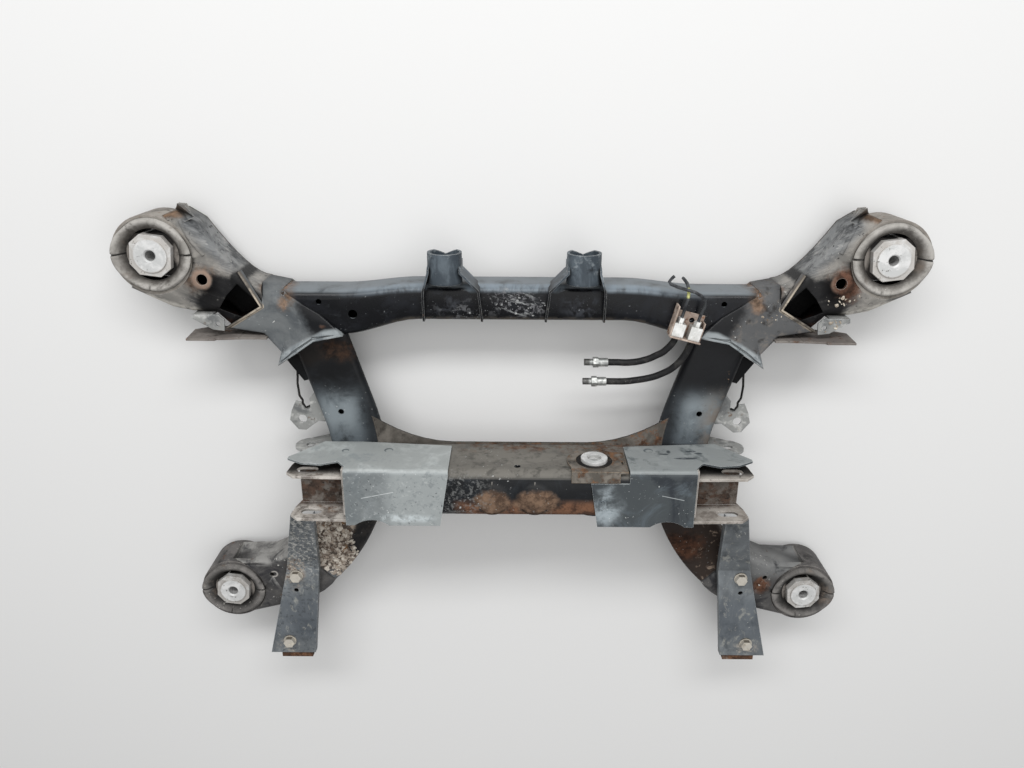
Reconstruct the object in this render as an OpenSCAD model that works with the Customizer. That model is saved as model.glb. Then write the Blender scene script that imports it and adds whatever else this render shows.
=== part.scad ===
// Rear axle subframe of a car: a welded sheet-steel carrier with rubber body bushes.
// It lies on its four bush cores, with the side that faces the road up.
// X runs across the car, Y along it, and Z away from the body. Sizes are in millimetres.

/* [Layout] */
// Half the distance between the two front body bushes
front_bush_half = 525; // [500:1:560]
// Place of the front body bushes along the car
front_bush_y = 306; // [290:1:320]
// Half the distance between the two rear body bushes
rear_bush_half = 473; // [455:1:500]
// Place of the rear body bushes along the car
rear_bush_y = -254; // [-262:1:-244]
// Height of the back shells over the body's contact plane
back_z = 15; // [10:1:20]
// Thickness of the pressed sheets
sheet = 3; // [2:0.5:4]

/* [Cross tube] */
// Half length of the tube
tube_half = 345; // [335:1:355]
// Middle of the tube at its centre
tube_y = 240; // [235:1:245]
// Width of the tube at its centre
tube_w = 54; // [48:1:60]
// Width of the flared tube ends
tube_end_w = 68; // [64:1:72]
// How far the middle of the ends lies below the centre
tube_drop = 16; // [12:1:20]
// Depth of the tube
tube_depth = 67; // [62:1:72]
// Corner radius of the tube
tube_r = 14; // [8:1:18]
// Bore of the large tool hole in the tube
tube_hole_d = 13; // [8:0.5:16]
// Bore of the small tool hole in the tube
tube_pin_d = 8; // [5:0.5:10]

/* [Arms] */
// Height of the arm shell over the shell plane
arm_depth = 60; // [56:1:64]
// Edge radius of the pressed arm shells
arm_fillet = 12; // [8:1:14]
// How far the arm's lower wall lies under the eye
arm_skirt = 25; // [18:1:30]
// Bore of the hole in the arm's boss
arm_hole_d = 16; // [10:0.5:20]
// Diameter of the boss round that hole
arm_boss_d = 34; // [28:1:38]
// Reach of the lug past the eye on the arm's ridge
lug_reach = 11; // [6:1:14]

/* [Side members] */
// Width of the curved box tube
member_w = 83; // [78:1:88]
// Depth of the curved box tube
member_depth = 62; // [56:1:66]
// How far its inner wall leans back at the bottom
member_draft = 16; // [10:1:20]
// Inner radius of its curve
member_r = 232; // [226:1:238]
// Bore of the hole in its front wall
member_hole_d = 9; // [6:0.5:12]

/* [Crossmember] */
// Width along the car
cross_w = 75; // [70:1:82]
// Depth
cross_depth = 95; // [88:1:102]
// Half length
cross_half = 255; // [250:1:262]
// Place of its front wall along the car
cross_y = 15; // [8:1:20]
// Radius of its long edges
cross_r = 16; // [10:1:20]
// Radius of the pressed domes on its face
dome_r = 27; // [20:1:29]
// Height of the domes
dome_h = 4; // [2:0.5:6]

/* [Bracket plates] */
// Outer reach of the plates
plate_out = 340; // [332:1:348]
// Inner edge of the left plate
left_plate_in = 104; // [95:1:120]
// Inner edge of the right plate's web
right_plate_in = 101; // [95:1:110]
// Inner edge of the right plate's flange
right_flange_in = 158; // [154:1:170]
// How far the web hangs past the crossmember
web_drop = 12; // [6:1:18]
// Bend radius of the folded plates
bend_r = 6; // [4:0.5:8]

/* [Link clevises] */
// Place of the link bolt across the car
link_x = 313; // [308:1:318]
// Height of the link bolt over the crossmember's back
link_z = 66; // [60:1:70]
// Gap for the link between the ears
link_gap = 66; // [60:1:68]
// Thickness of the ears
ear_t = 4; // [3:0.5:6]
// Length of the adjusting slot
slot_l = 31; // [24:1:36]
// Width of the adjusting slot
slot_w = 16; // [12:0.5:20]

/* [Struts] */
// Width of the strut's upper end
strut_top_w = 34; // [30:1:40]
// Width of the strut's lower end
strut_low_w = 75; // [70:1:80]
// Lower end of the strut along the car
strut_end_y = -370; // [-376:1:-364]
// Gap between the rear arm and the strut's flat
strut_gap = 12; // [11:1:16]
// Depth of the strut's side flanges
strut_flange = 9; // [6:1:10]
// Diameter of the strut bolts
bolt_d = 10; // [8:0.5:12]
// Clearance of the bolt holes
bolt_fit = 0.5; // [0.3:0.1:1]

/* [Body bushes] */
// Outer radius of the front eyes
front_eye_r = 57; // [54:0.5:60]
// Outer radius of the rear eyes
rear_eye_r = 52; // [50:0.5:55]
// Wall of the eyes
eye_wall = 4; // [3:0.5:6]
// Wall of the bush's outer sleeve
sleeve_wall = 3; // [2:0.5:4]
// Thickness of the sleeve's front flange
flange_t = 6; // [4:0.5:8]
// How far the flange reaches inside the eye
flange_in = 19; // [16:0.5:21]
// Height of the oval flange over its width
flange_oval = 0.83; // [0.75:0.01:0.95]
// Width of the front core
front_core_w = 58; // [50:1:62]
// Width of the rear core
rear_core_w = 52; // [46:1:55]
// Cut-off corner of the cores
core_chamfer = 14; // [10:0.5:18]
// Turn of the cores in their eyes
core_turn = 7; // [0:1:15]
// Length of the cores
core_h = 86; // [84:0.5:92]
// Bore of the cores
core_bore_d = 14.5; // [10:0.5:18]

/* [Differential mounts] */
// Middle of the two sleeves across the car
diff_mid = -10.5; // [-16:0.5:-6]
// Distance between the two sleeves
diff_pitch = 197; // [185:1:210]
// Outer radius of the sleeves
sleeve_r = 24.5; // [22:0.5:27]
// Wall of the sleeves
sleeve_t = 3.5; // [2.5:0.5:5]
// Length of the sleeves
sleeve_l = 44; // [38:1:50]
// Place of the third mount across the car
third_x = 109; // [105:1:113]
// Height of the third mount over the crossmember's back
third_z = 60; // [56:1:64]
// Radius of the third mount's aluminium core
third_core_r = 19.5; // [17:0.5:21]
// Bore of that core
third_bore_d = 12.5; // [10:0.5:14]
// Radius of the third mount's rubber ring
third_ring_r = 27; // [25:0.5:29]

/* [Tabs] */
// Reach of the shelf plates
shelf_out = 487; // [480:1:495]
// Bore of the cable tabs
cable_hole_d = 13; // [9:0.5:15]
// Bore of the link ears
link_ear_d = 14; // [10:0.5:16]
// Bore of the galvanised tabs
tab_hole_d = 7; // [5:0.5:9]
// Wire thickness of the cable clips
wire_d = 3.5; // [3:0.5:4.5]

/* [Brake hoses] */
// Outer diameter of the hoses
hose_d = 10; // [9:0.5:11]
// Diameter of the rigid brake pipes
pipe_d = 4.75; // [4.5:0.25:5.5]
// Width of a hose end block
block_w = 17; // [15:0.5:19]
// Length of a hose end block
block_l = 20; // [18:0.5:22]
// Depth of a hose end block
block_h = 15; // [13:0.5:17]
// Length of a pipe's union nut
nut_l = 8; // [6:0.5:10]

/* [Hidden] */
$fn = 72;
eps = 0.01;
shell_z = back_z + sheet;
tube_front = shell_z + tube_depth;
tube_end_y = tube_y - tube_drop;
tube_low = tube_end_y - tube_end_w / 2;
tube_top = tube_end_y + tube_end_w / 2;
member_front = shell_z + member_depth;
cross_front = member_front + cross_depth;
cross_mid_y = cross_y - cross_w / 2;
front_eye = [front_bush_half, front_bush_y];
rear_eye = [rear_bush_half, rear_bush_y];
eye_top = shell_z + arm_depth;
eye_low = back_z - sheet;

// The tube keeps its centre section up to the first station and its end section from the second.
tube_straight = 150;
tube_flared = 260;

// The side member is straight beside the tube and curved below: the curve's centre and its end angles.
member_x = 291;
member_c = [member_r + member_x, -12];
member_from = 163;
member_to = 225;
member_straight = 118;
member_out = member_r + member_w;
member_corner = 10;

// Corners of the collar and of the arm's neck, from the tube's end.
neck_x = tube_half + 31;
lip_top = [tube_half + 56, tube_top + 27];
lip_mid = [neck_x - 2, tube_end_y + 10];
lip_foot = [tube_half + 82, tube_low + 12];
skirt_tip = [member_x + 63, tube_low - 41];
skirt_heel = skirt_tip + [-4, 19];
skirt_mid = [member_x + 10, tube_low - 5];
skirt_in = [member_x - 32, tube_low + 2];
skirt_back = [tube_half + 30, tube_low + 4];

// Corners of the rear arm at the end of the side member.
joint_out = member_c + member_r * [cos(member_to), sin(member_to)];
joint_in = member_c + member_out * [cos(member_to), sin(member_to)];

// Clevis ears and struts.
clevis_y = cross_y - 49;
ear_low_y = clevis_y - link_gap / 2 - ear_t;
bolt_z = member_front + link_z;
strut_z = member_front + strut_gap;
strut_x = link_x - 3;
strut_foot_x = strut_x + 33;
strut_bend_y = rear_bush_y + 53;
mid_bolt = [strut_x + 52, rear_bush_y + 38];
low_bolt = [strut_foot_x + 41, strut_end_y + 25];
head_af = 16;
head_h = 7;
washer_r = 10.5;
washer_t = 2;

// Differential sleeves and saddles.
sleeve_y = tube_y + tube_w / 2 + 4;
sleeve_z = tube_front + 0.5;
saddle_front = sleeve_z + sleeve_r - 3;
plate_t = 3;
left_sleeve_x = diff_mid - diff_pitch / 2;
right_sleeve_x = diff_mid + diff_pitch / 2;

tray_t = 2;
tray_h = 24;
tray_w = 2 * block_w + 12;
fitting_l = 35;

// Routes of the two hoses, from their end blocks to their fittings.
upper_route = [
    [223, 198, 98], [221, 190, 98], [217, 183, 97], [212, 177, 96], [206, 171, 95],
    [198, 166, 93], [190, 161, 91], [181, 157, 89], [172, 154, 87], [162, 152, 85],
    [153, 151, 83], [145, 151, 82], [137, 151, 82], [129, 151, 82]
];
lower_route = [
    [247, 192, 98], [245, 184, 98], [242, 175, 97], [238, 166, 96], [233, 158, 95],
    [227, 150, 93], [220, 143, 91], [211, 137, 89], [202, 132, 87], [192, 128, 85],
    [182, 125, 83], [172, 123, 82], [161, 121, 81], [150, 120, 80], [139, 120, 80],
    [128, 120, 80]
];

// The hose bracket stands on the tube's front wall, square to the two hose ends.
hose_starts = [upper_route[0], lower_route[0]];
hose_pitch = norm(hose_starts[1] - hose_starts[0]);
hose_along = unit(hose_starts[1] - hose_starts[0]);
hose_out = [-hose_along[1], hose_along[0], 0];
hose_mid = (hose_starts[0] + hose_starts[1]) / 2;
hose_turn = atan2(hose_along[1], hose_along[0]);
pipe_starts = [for (p = hose_starts) p + (block_l + nut_l) * hose_out];
left_pipe_route = concat(
    [pipe_starts[0], pipe_starts[0] + 8 * hose_out],
    [
        [233, 243, 101], [235, 252, 103], [236, 260, 101], [236, 267, 97], [235, 273, 90],
        [233, 276, 82], [232, 277, 74],
    ]
);
right_pipe_route = concat(
    [pipe_starts[1], pipe_starts[1] + 8 * hose_out],
    [
        [258, 236, 102], [260, 245, 105], [258, 253, 108], [252, 260, 109], [243, 265, 109],
        [231, 268, 107], [219, 271, 103], [210, 274, 99], [208, 277, 97], [211, 281, 96], [215, 285, 96],
    ]
);

SIDES = ["left", "right"];

// Blending and curves

function blend(a, b, t) = a + (b - a) * t;
function ease(t) = let (c = max(0, min(1, t))) c * c * (3 - 2 * c);
function bezier(a, b, c, steps) = [
    for (i = [0 : steps]) let (t = i / steps) (1 - t) * (1 - t) * a + 2 * t * (1 - t) * b + t * t * c
];
function arc(c, r, from, to, steps) = [
    for (i = [0 : steps]) let (a = blend(from, to, i / steps)) c + r * [cos(a), sin(a)]
];
function left_of(v) = [-v[1], v[0]];
function unit(v) = v / norm(v);

// Moves a counter-clockwise outline inwards by d, with mitred corners.
function inset(outline, d) = [
    let (n = len(outline))
    for (i = [0 : n - 1])
        let (
            a = left_of(unit(outline[i] - outline[(i + n - 1) % n])),
            b = left_of(unit(outline[(i + 1) % n] - outline[i]))
        )
        outline[i] + d * (a + b) / max(0.5, 1 + a * b)
];
function at_height(outline, z) = [for (p = outline) [p[0], p[1], z]];

// Splits each edge of a closed outline into equal steps.
function divided(outline, steps) = [
    let (n = len(outline))
    for (i = [0 : n - 1])
        for (k = [0 : steps - 1])
            blend(outline[i], outline[(i + 1) % n], k / steps)
];

// Two sides of a sheet that follows a bent line.
function ribbon(path, t) =
    let (
        n = len(path),
        side = [
            for (i = [0 : n - 1])
                let (
                    a = left_of(unit(path[max(i, 1)] - path[max(i, 1) - 1])),
                    b = left_of(unit(path[min(i, n - 2) + 1] - path[min(i, n - 2)]))
                )
                (a + b) / (1 + a * b)
        ]
    )
    concat(
        [for (i = [0 : n - 1]) path[i] - side[i] * t / 2],
        [for (i = [n - 1 : -1 : 0]) path[i] + side[i] * t / 2]
    );

// A hollow loft of rings: closed round a middle point at its last ring, or open at both ends.
module shell_loft(outer, inner, middle) {
    n = len(outer[0]);
    m = len(outer);
    base = n * m;
    last = n * (m - 1);
    hub = 2 * base;
    capped = !is_undef(middle);
    wall = [
        for (k = [0 : m - 2])
            for (i = [0 : n - 1])
                let (j = (i + 1) % n, a = k * n, b = a + n)
                each [[a + i, b + i, b + j], [a + i, b + j, a + j]]
    ];
    lining = [for (f = wall) [base + f[2], base + f[1], base + f[0]]];
    rim = [
        for (i = [0 : n - 1])
            let (j = (i + 1) % n)
            each [[i, j, base + j], [i, base + j, base + i]]
    ];
    cap = [
        for (i = [0 : n - 1])
            let (j = (i + 1) % n)
            each [[last + j, last + i, hub], [base + last + i, base + last + j, hub + 1]]
    ];
    hubs = capped ? [for (ring = [outer[m - 1], inner[m - 1]]) [middle[0], middle[1], ring[0][2]]] : [];
    far_rim = [
        for (i = [0 : n - 1])
            let (j = (i + 1) % n, a = last, c = base + last)
            each [[a + i, c + i, c + j], [a + i, c + j, a + j]]
    ];
    polyhedron(
        concat([for (ring = concat(outer, inner)) each ring], hubs),
        concat(wall, lining, rim, capped ? cap : far_rim),
        convexity = 8
    );
}

// A pressed pan with rounded front edges, open at the back.
module pan(outline, depth, fillet, middle) {
    steps = 4;
    lining_r = max(fillet - sheet, 1);
    outer = concat(
        [at_height(outline, 0)],
        [
            for (k = [0 : steps])
                let (a = 90 * k / steps)
                at_height(inset(outline, fillet * (1 - cos(a))), depth - fillet * (1 - sin(a)))
        ]
    );
    inner = concat(
        [at_height(inset(outline, sheet), 0)],
        [
            for (k = [0 : steps])
                let (a = 90 * k / steps)
                at_height(
                    inset(outline, sheet + lining_r * (1 - cos(a))),
                    depth - sheet - lining_r * (1 - sin(a))
                )
        ]
    );
    shell_loft(outer, inner, middle);
}

// A round bar along a route.
module swept_bar(route, d, sides) {
    n = len(route);
    ring = function (i)
        let (
            t = unit(route[min(i + 1, n - 1)] - route[max(i - 1, 0)]),
            u = unit(cross(t, [0.3, 0.2, 1])),
            v = cross(t, u)
        )
        [for (k = [0 : sides - 1]) let (a = 360 * k / sides) route[i] + d / 2 * (cos(a) * u + sin(a) * v)];
    wall = [
        for (i = [0 : n - 2])
            for (k = [0 : sides - 1])
                let (m = (k + 1) % sides, a = i * sides, b = a + sides)
                each [[a + k, b + k, b + m], [a + k, b + m, a + m]]
    ];
    start = [[for (k = [0 : sides - 1]) k]];
    end = [[for (k = [sides - 1 : -1 : 0]) (n - 1) * sides + k]];
    polyhedron([for (i = [0 : n - 1]) each ring(i)], concat(wall, start, end), convexity = 6);
}

// Pieces are drawn for the right side and mirrored for the left.
module on_side(side) {
    if (side == "right")
        children();
    else
        mirror([1, 0, 0]) children();
}

// Stands a flat outline in the YZ plane and extrudes it along X.
module along_x(from, to) {
    translate([from, 0, 0]) rotate([90, 0, 90]) linear_extrude(to - from) children();
}

// Stands a flat outline in the XZ plane and extrudes it along Y.
module along_y(from, to) {
    translate([0, to, 0]) rotate([90, 0, 0]) linear_extrude(to - from) children();
}

module rounded_square(w, h, r) {
    translate([0, r]) square([w, h - 2 * r]);
    translate([r, 0]) square([w - 2 * r, h]);
    for (x = [r, w - r])
        for (y = [r, h - r])
            translate([x, y]) circle(r);
}

// A square with its corners cut off.
module octagon(w, c) {
    h = w / 2;
    polygon([
        [h, c - h], [h, h - c], [h - c, h], [c - h, h],
        [-h, h - c], [-h, c - h], [c - h, -h], [h - c, -h]
    ]);
}

// Cross tube

function tube_section(x, wall) =
    let (
        t = ease((abs(x) - tube_straight) / (tube_flared - tube_straight)),
        w = blend(tube_w, tube_end_w, t) / 2 - wall,
        h = tube_depth / 2 - wall,
        r = tube_r - wall,
        y = blend(tube_y, tube_end_y, t),
        z = shell_z + tube_depth / 2,
        corner = [[w - r, h - r, 0], [r - w, h - r, 90], [r - w, r - h, 180], [w - r, r - h, 270]]
    )
    [
        for (c = corner)
            for (p = arc([y + c[0], z + c[1]], r, c[2], c[2] + 90, 5))
                [x, p[0], p[1]]
    ];

module tube_envelope(from, to, y, w) {
    along_x(from, to) translate([y - w / 2, shell_z]) rounded_square(w, tube_depth, tube_r);
}

module cross_tube() {
    steps = 7;
    half = concat(
        [for (k = [0 : steps]) blend(tube_straight, tube_flared, k / steps)],
        [tube_half]
    );
    stations = concat([for (k = [len(half) - 1 : -1 : 0]) -half[k]], half);
    color("#23252a")
        difference() {
            shell_loft(
                [for (x = stations) tube_section(x, 0)],
                [for (x = stations) tube_section(x, sheet)],
                undef
            );
            for (s = [-1, 1]) {
                translate([s * 244, tube_low + 33, tube_front - 2 * sheet])
                    cylinder(d = tube_hole_d, h = 4 * sheet);
                translate([s * 292, tube_low + 51, tube_front - 2 * sheet])
                    cylinder(d = tube_pin_d, h = 4 * sheet);
            }
        }
}

// Front arms: a pressed shell, its back shell and the collar at the tube

// The silhouette edge that runs from the collar up to the eye.
neck_top = [neck_x, tube_top + 7];
arm_ridge = bezier(neck_top, [neck_x + 30, tube_top + 7], front_eye + [-62, 45], 8);
arm_low_y = front_bush_y - front_eye_r - arm_skirt;

// The arm's outline runs on under the collar, where the collar's own region is cut away from it.
function arm_outline() = concat(
    [
        [neck_x - 30, tube_end_y + 3],
        lip_foot,
        [lip_foot[0] + 20, arm_low_y - 2],
        [front_bush_half - 47, arm_low_y - 2],
        [front_bush_half - 17, arm_low_y + 4],
        front_eye + (front_eye_r + 8) * [0.63, -0.77],
        front_eye + [20, 0],
        front_eye + [0, front_eye_r - 8],
        front_eye + [-38, front_eye_r + 3],
    ],
    [for (i = [len(arm_ridge) - 1 : -1 : 0]) arm_ridge[i]],
    [[neck_x - 30, tube_top]]
);
collar_region = [lip_foot, lip_mid, neck_top, neck_top + [-60, 20], lip_foot + [-90, -20]];

module eye_envelope(c, r) {
    translate([c[0], c[1], 0]) cylinder(r = r, h = cross_front);
}

module arm(side) {
    boss = front_eye + [-67, -35];
    color("#77716a")
        on_side(side)
            difference() {
                union() {
                    translate([0, 0, shell_z]) pan(arm_outline(), arm_depth, arm_fillet, front_eye - [57, 43]);
                    translate([boss[0], boss[1], eye_top - sheet])
                        cylinder(d = arm_boss_d, h = sheet + 2);
                    translate([front_bush_half, front_bush_y + front_eye_r, shell_z + 20])
                        linear_extrude(sheet + 1)
                            polygon([
                                [-20, -9], [-33, lug_reach], [-44, lug_reach - 1], [-54, -13], [-40, -19],
                            ]);
                }
                eye_envelope(front_eye, front_eye_r);
                translate([boss[0], boss[1], shell_z]) cylinder(d = arm_hole_d, h = 2 * arm_depth);
                translate([front_bush_half - 40, front_bush_y + front_eye_r + lug_reach - 8, shell_z + 19])
                    cylinder(d = tab_hole_d, h = 2 * sheet);
                translate([0, 0, shell_z + sheet]) linear_extrude(2 * arm_depth) polygon(pocket_outline());
                linear_extrude(2 * cross_front) polygon(collar_region);
            }
}

// The open pocket beside the collar's lip.
function pocket_outline() = [
    lip_foot + [-28, 10],
    lip_foot + [12, 26],
    lip_foot + [-1, 46],
    lip_top + [8, -20],
    lip_mid + [1, -3],
];

function arm_back_outline() = concat(
    [
        front_eye + (front_eye_r + 8) * [0.63, -0.77],
        [front_bush_half - 17, arm_low_y + 1],
        [front_bush_half - 47, arm_low_y - 5],
        lip_foot + [20, 16],
        lip_foot + [4, -6],
        skirt_tip + [4, -6],
        skirt_in + [-6, -8],
        [skirt_in[0] - 6, tube_top - tube_r],
        [tube_half, tube_top - tube_r],
    ],
    arm_ridge,
    [
        front_eye + [-38, front_eye_r + 3],
        front_eye + [0, front_eye_r - 8],
        front_eye + [20, 0],
    ]
);

module arm_back(side) {
    color("#6f6a64")
        on_side(side)
            difference() {
                translate([0, 0, back_z]) linear_extrude(sheet) polygon(arm_back_outline());
                eye_envelope(front_eye, front_eye_r);
            }
}

// The collar is a dome over its outline: each corner has its own height.
module collar(side) {
    corner = [
        [skirt_in[0], skirt_in[1], tube_front + 9],
        [skirt_mid[0], skirt_mid[1], tube_front + 14],
        [skirt_tip[0], skirt_tip[1], tube_front + 18],
        [skirt_heel[0], skirt_heel[1], tube_front + 9],
        [skirt_back[0], skirt_back[1], tube_front + 2],
        [lip_foot[0], lip_foot[1], tube_front + 2],
        [lip_mid[0], lip_mid[1], tube_front + 2],
        [neck_top[0], neck_top[1], eye_top - 14],
        [tube_half, tube_top + 1, tube_front - 12],
        [tube_half - 8, tube_top - 6, tube_front + 1],
        [tube_half - 55, tube_top - 36, tube_front + 1],
    ];
    steps = 2;
    lip = ribbon([lip_foot, lip_mid, lip_top], sheet);
    crown = tube_front + 4;
    middle = [tube_half - 8, tube_low + 22];
    outline = divided([for (c = corner) [c[0], c[1]]], steps);
    edge = divided([for (c = corner) [c[2], 0]], steps);
    lining = inset(outline, sheet);
    dome = function (ring, s, drop)
        [
            for (i = [0 : len(ring) - 1])
                let (
                    p = blend(middle, ring[i], s),
                    lift = pow(max(0, (s - 0.3) / 0.7), 4)
                )
                [p[0], p[1], blend(crown, edge[i][0], lift) - drop]
        ];
    scales = [1, 0.92, 0.8, 0.6, 0.3];
    color("#6d7073")
        on_side(side) {
            difference() {
                shell_loft(
                    concat([at_height(outline, shell_z)], [for (s = scales) dome(outline, s, 0)]),
                    concat([at_height(lining, shell_z)], [for (s = scales) dome(lining, s, sheet)]),
                    middle
                );
                tube_envelope(tube_half - 150, tube_half + eps, tube_end_y, tube_end_w);
                member_envelope(sheet);
            }
            translate([0, 0, eye_top]) linear_extrude(tube_front + 5 - eye_top) polygon(lip);
        }
}

// Side members

// Carries a section, drawn at the curve's radius, along the curve and the straight part.
module along_member(extra) {
    translate([member_c[0], member_c[1], shell_z])
        rotate(member_from) {
            rotate_extrude(angle = member_to - member_from + extra, $fn = 180) children();
            rotate([90, 0, 0]) linear_extrude(member_straight + extra) children();
        }
}

module member_envelope(lift) {
    along_member(0) translate([member_r, -eps]) square([member_w, member_depth + lift + eps]);
}

// The box, drawn smaller by its wall for the hollow inside. Its inner wall leans back.
module member_body(wall) {
    rise = member_depth - member_corner;
    foot = member_w - member_draft - 1.05 * wall;
    along_member(wall > 0 ? 1 : 0)
        translate([member_r, 0])
            difference() {
                translate([wall, wall])
                    rounded_square(member_w - 2 * wall, member_depth - 2 * wall, member_corner - wall);
                polygon([
                    [foot - member_draft, -rise],
                    [foot + 5 * member_draft, -rise],
                    [foot + 2 * member_draft, 2 * rise],
                ]);
            }
}

module side_member(side) {
    hole = member_c + (member_r + 33) * [cos(member_from), sin(member_from)] + [3, 2];
    shoulder = [
        skirt_mid + [-2, -6],
        skirt_tip + [-4, -2],
        [member_x + 36, tube_low - 76],
        [member_x + 14, tube_low - 70],
    ];
    color("#2d2f33")
        on_side(side)
            difference() {
                union() {
                    member_body(0);
                    translate([0, 0, member_front - member_corner - sheet])
                        linear_extrude(sheet) polygon(shoulder);
                }
                member_body(sheet);
                translate([0, tube_low, 0]) cube([2 * tube_half, tube_end_w, cross_front]);
                translate([hole[0], hole[1], member_front - 2 * sheet])
                    cylinder(d = member_hole_d, h = 4 * sheet);
            }
}

// Rear arms and eyes

function rear_arm_outline() = concat(
    bezier(joint_in, [joint_in[0] + 25, rear_bush_y - 24], rear_eye + [-70, -37], 6),
    [
        rear_eye + [-20, -rear_eye_r + 2],
        rear_eye + [10, -20],
        rear_eye + [10, 20],
        rear_eye + [0, rear_eye_r],
        rear_eye + [-60, rear_eye_r + 2],
        joint_out,
    ]
);

module rear_arm(side) {
    pin = rear_eye + [-66, 29];
    color("#4b4b4b")
        on_side(side)
            difference() {
                translate([0, 0, shell_z]) pan(rear_arm_outline(), member_depth, arm_fillet, rear_eye + [-71, 18]);
                eye_envelope(rear_eye, rear_eye_r);
                translate([pin[0], pin[1], shell_z]) cylinder(d = tube_pin_d, h = 2 * member_depth);
                translate([mid_bolt[0], mid_bolt[1], shell_z])
                    cylinder(d = bolt_d + bolt_fit, h = 2 * member_depth);
            }
}

module eyes(c, r) {
    color("#7f7b75")
        for (side = SIDES)
            on_side(side)
                translate([c[0], c[1], eye_low])
                    difference() {
                        cylinder(r = r, h = eye_top - eye_low);
                        translate([0, 0, -eps]) cylinder(r = r - eye_wall, h = eye_top);
                    }
}

// Crossmember, its back plate and the folded plates on it

module channel(w, d, r) {
    square([w, d - r]);
    translate([r, d - r - eps]) square([w - 2 * r, r + eps]);
    for (x = [r, w - r])
        translate([x, d - r]) circle(r);
}

module crossmember() {
    dome_ball = (dome_r * dome_r + dome_h * dome_h) / (2 * dome_h);
    third_hole_y = cross_y - cross_w - 1;
    color("#3d3834")
        difference() {
            union() {
                along_x(-cross_half, cross_half)
                    translate([cross_y - cross_w, member_front])
                        difference() {
                            channel(cross_w, cross_depth, cross_r);
                            translate([sheet, -eps])
                                channel(cross_w - 2 * sheet, cross_depth - sheet + eps, cross_r - sheet);
                        }
                for (x = [diff_mid - 30, diff_mid + 32])
                    intersection() {
                        translate([x, cross_mid_y - 5, cross_front + dome_h - dome_ball])
                            sphere(dome_ball);
                        translate([x - dome_r, cross_mid_y - 5 - dome_r, cross_front - eps])
                            cube([2 * dome_r, 2 * dome_r, 2 * dome_h]);
                    }
            }
            translate([third_x, third_hole_y, member_front + third_z])
                rotate([-90, 0, 0]) cylinder(r = third_ring_r, h = cross_w + 2);
            translate([-4, cross_y - 2 * sheet, cross_front - 20])
                rotate([-90, 0, 0]) cylinder(d = member_hole_d, h = 4 * sheet);
        }
}

module crossmember_back() {
    reach = member_x - member_w / 2;
    steps = 24;
    edge = [
        for (i = [0 : steps])
            let (x = blend(reach, -reach, i / steps), run = max(0, abs(x) - 100))
            [x, cross_y + 3 + 0.0027 * run * run]
    ];
    color("#4a443d")
        difference() {
            translate([0, 0, member_front - sheet])
                linear_extrude(sheet)
                    polygon(concat([[-reach, cross_y - cross_w - 4], [reach, cross_y - cross_w - 4]], edge));
            for (side = SIDES)
                on_side(side) member_body(0);
        }
}

// A folded plate: its flange lies on the crossmember's front wall, its web on the crossmember's face.
module bracket_plate(side, web_in, flange_in) {
    flange_y = cross_y + plate_t;
    web_z = cross_front + plate_t;
    web_low = cross_y - cross_w - web_drop;
    turn = arc([flange_y - bend_r - plate_t / 2, web_z - bend_r - plate_t / 2], bend_r, 0, 90, 6);
    lip = 8;
    notch_r = 40;
    color("#7b868e")
        on_side(side)
            difference() {
                union() {
                    along_x(web_in, cross_half)
                        polygon(ribbon(
                            concat(
                                [[cross_y + plate_t / 2, member_front]],
                                turn,
                                [[web_low, cross_front + plate_t / 2]]
                            ),
                            plate_t
                        ));
                    along_y(cross_y, flange_y)
                        polygon([
                            [cross_half - lip, member_front],
                            [cross_half + 45, member_front],
                            [plate_out - 11, cross_front - 58],
                            [plate_out + 3, cross_front - 41],
                            [plate_out + 3, cross_front - 35],
                            [plate_out - 20, cross_front - 21],
                            [cross_half + 36, cross_front - 17],
                            [cross_half + 13, cross_front - 27],
                            [cross_half, cross_front - bend_r - 4],
                            [cross_half - lip, cross_front - bend_r],
                        ]);
                }
                translate([cross_half - 38, web_low - notch_r + 9, cross_front - 1])
                    cylinder(r = notch_r, h = 3 * plate_t);
                translate([web_in - 1, cross_y - cross_r, member_front - 1])
                    cube([flange_in - web_in + 1, cross_r + plate_t + 1, cross_depth + 2 * plate_t]);
                along_y(cross_y - eps, flange_y + eps)
                    polygon([
                        [flange_in - 1, member_front - 1],
                        [flange_in + 150, member_front - 1],
                        [flange_in - 1, member_front + 13],
                    ]);
                linear_extrude(2 * cross_front)
                    polygon([
                        [web_in - 1, cross_y],
                        [web_in - 1, web_low - 1],
                        [web_in + 13, web_low - 1],
                    ]);
            }
}

// Third differential mount, on the crossmember

module diff_plate() {
    corner = third_ring_r + 13;
    lip_l = 2 * corner - 10;
    top = cross_front + plate_t;
    color("#8a8178")
        difference() {
            union() {
                along_y(cross_y, cross_y + plate_t)
                    translate([third_x, member_front + third_z])
                        difference() {
                            union() {
                                circle(corner);
                                translate([0, -corner + 12]) square([corner + 6, 2 * corner - 14]);
                                translate([-lip_l / 2, 0]) square([lip_l, corner]);
                            }
                            translate([third_ring_r + 12, 2]) square([3, 12]);
                        }
                translate([third_x - lip_l / 2, cross_y - cross_r + 1, cross_front])
                    cube([lip_l, cross_r + plate_t - 1, plate_t]);
            }
            translate([third_x - 2 * corner, 0, top]) cube([4 * corner, 2 * cross_y, corner]);
            translate([third_x, cross_y - 1, member_front + third_z])
                rotate([-90, 0, 0]) cylinder(r = third_ring_r, h = 4 * plate_t);
        }
}

module third_turned(r_out, r_in, from, to) {
    translate([third_x, from, member_front + third_z])
        rotate([-90, 0, 0])
            difference() {
                cylinder(r = r_out, h = to - from);
                translate([0, 0, -eps]) cylinder(r = r_in, h = to - from + 1);
            }
}

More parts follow.
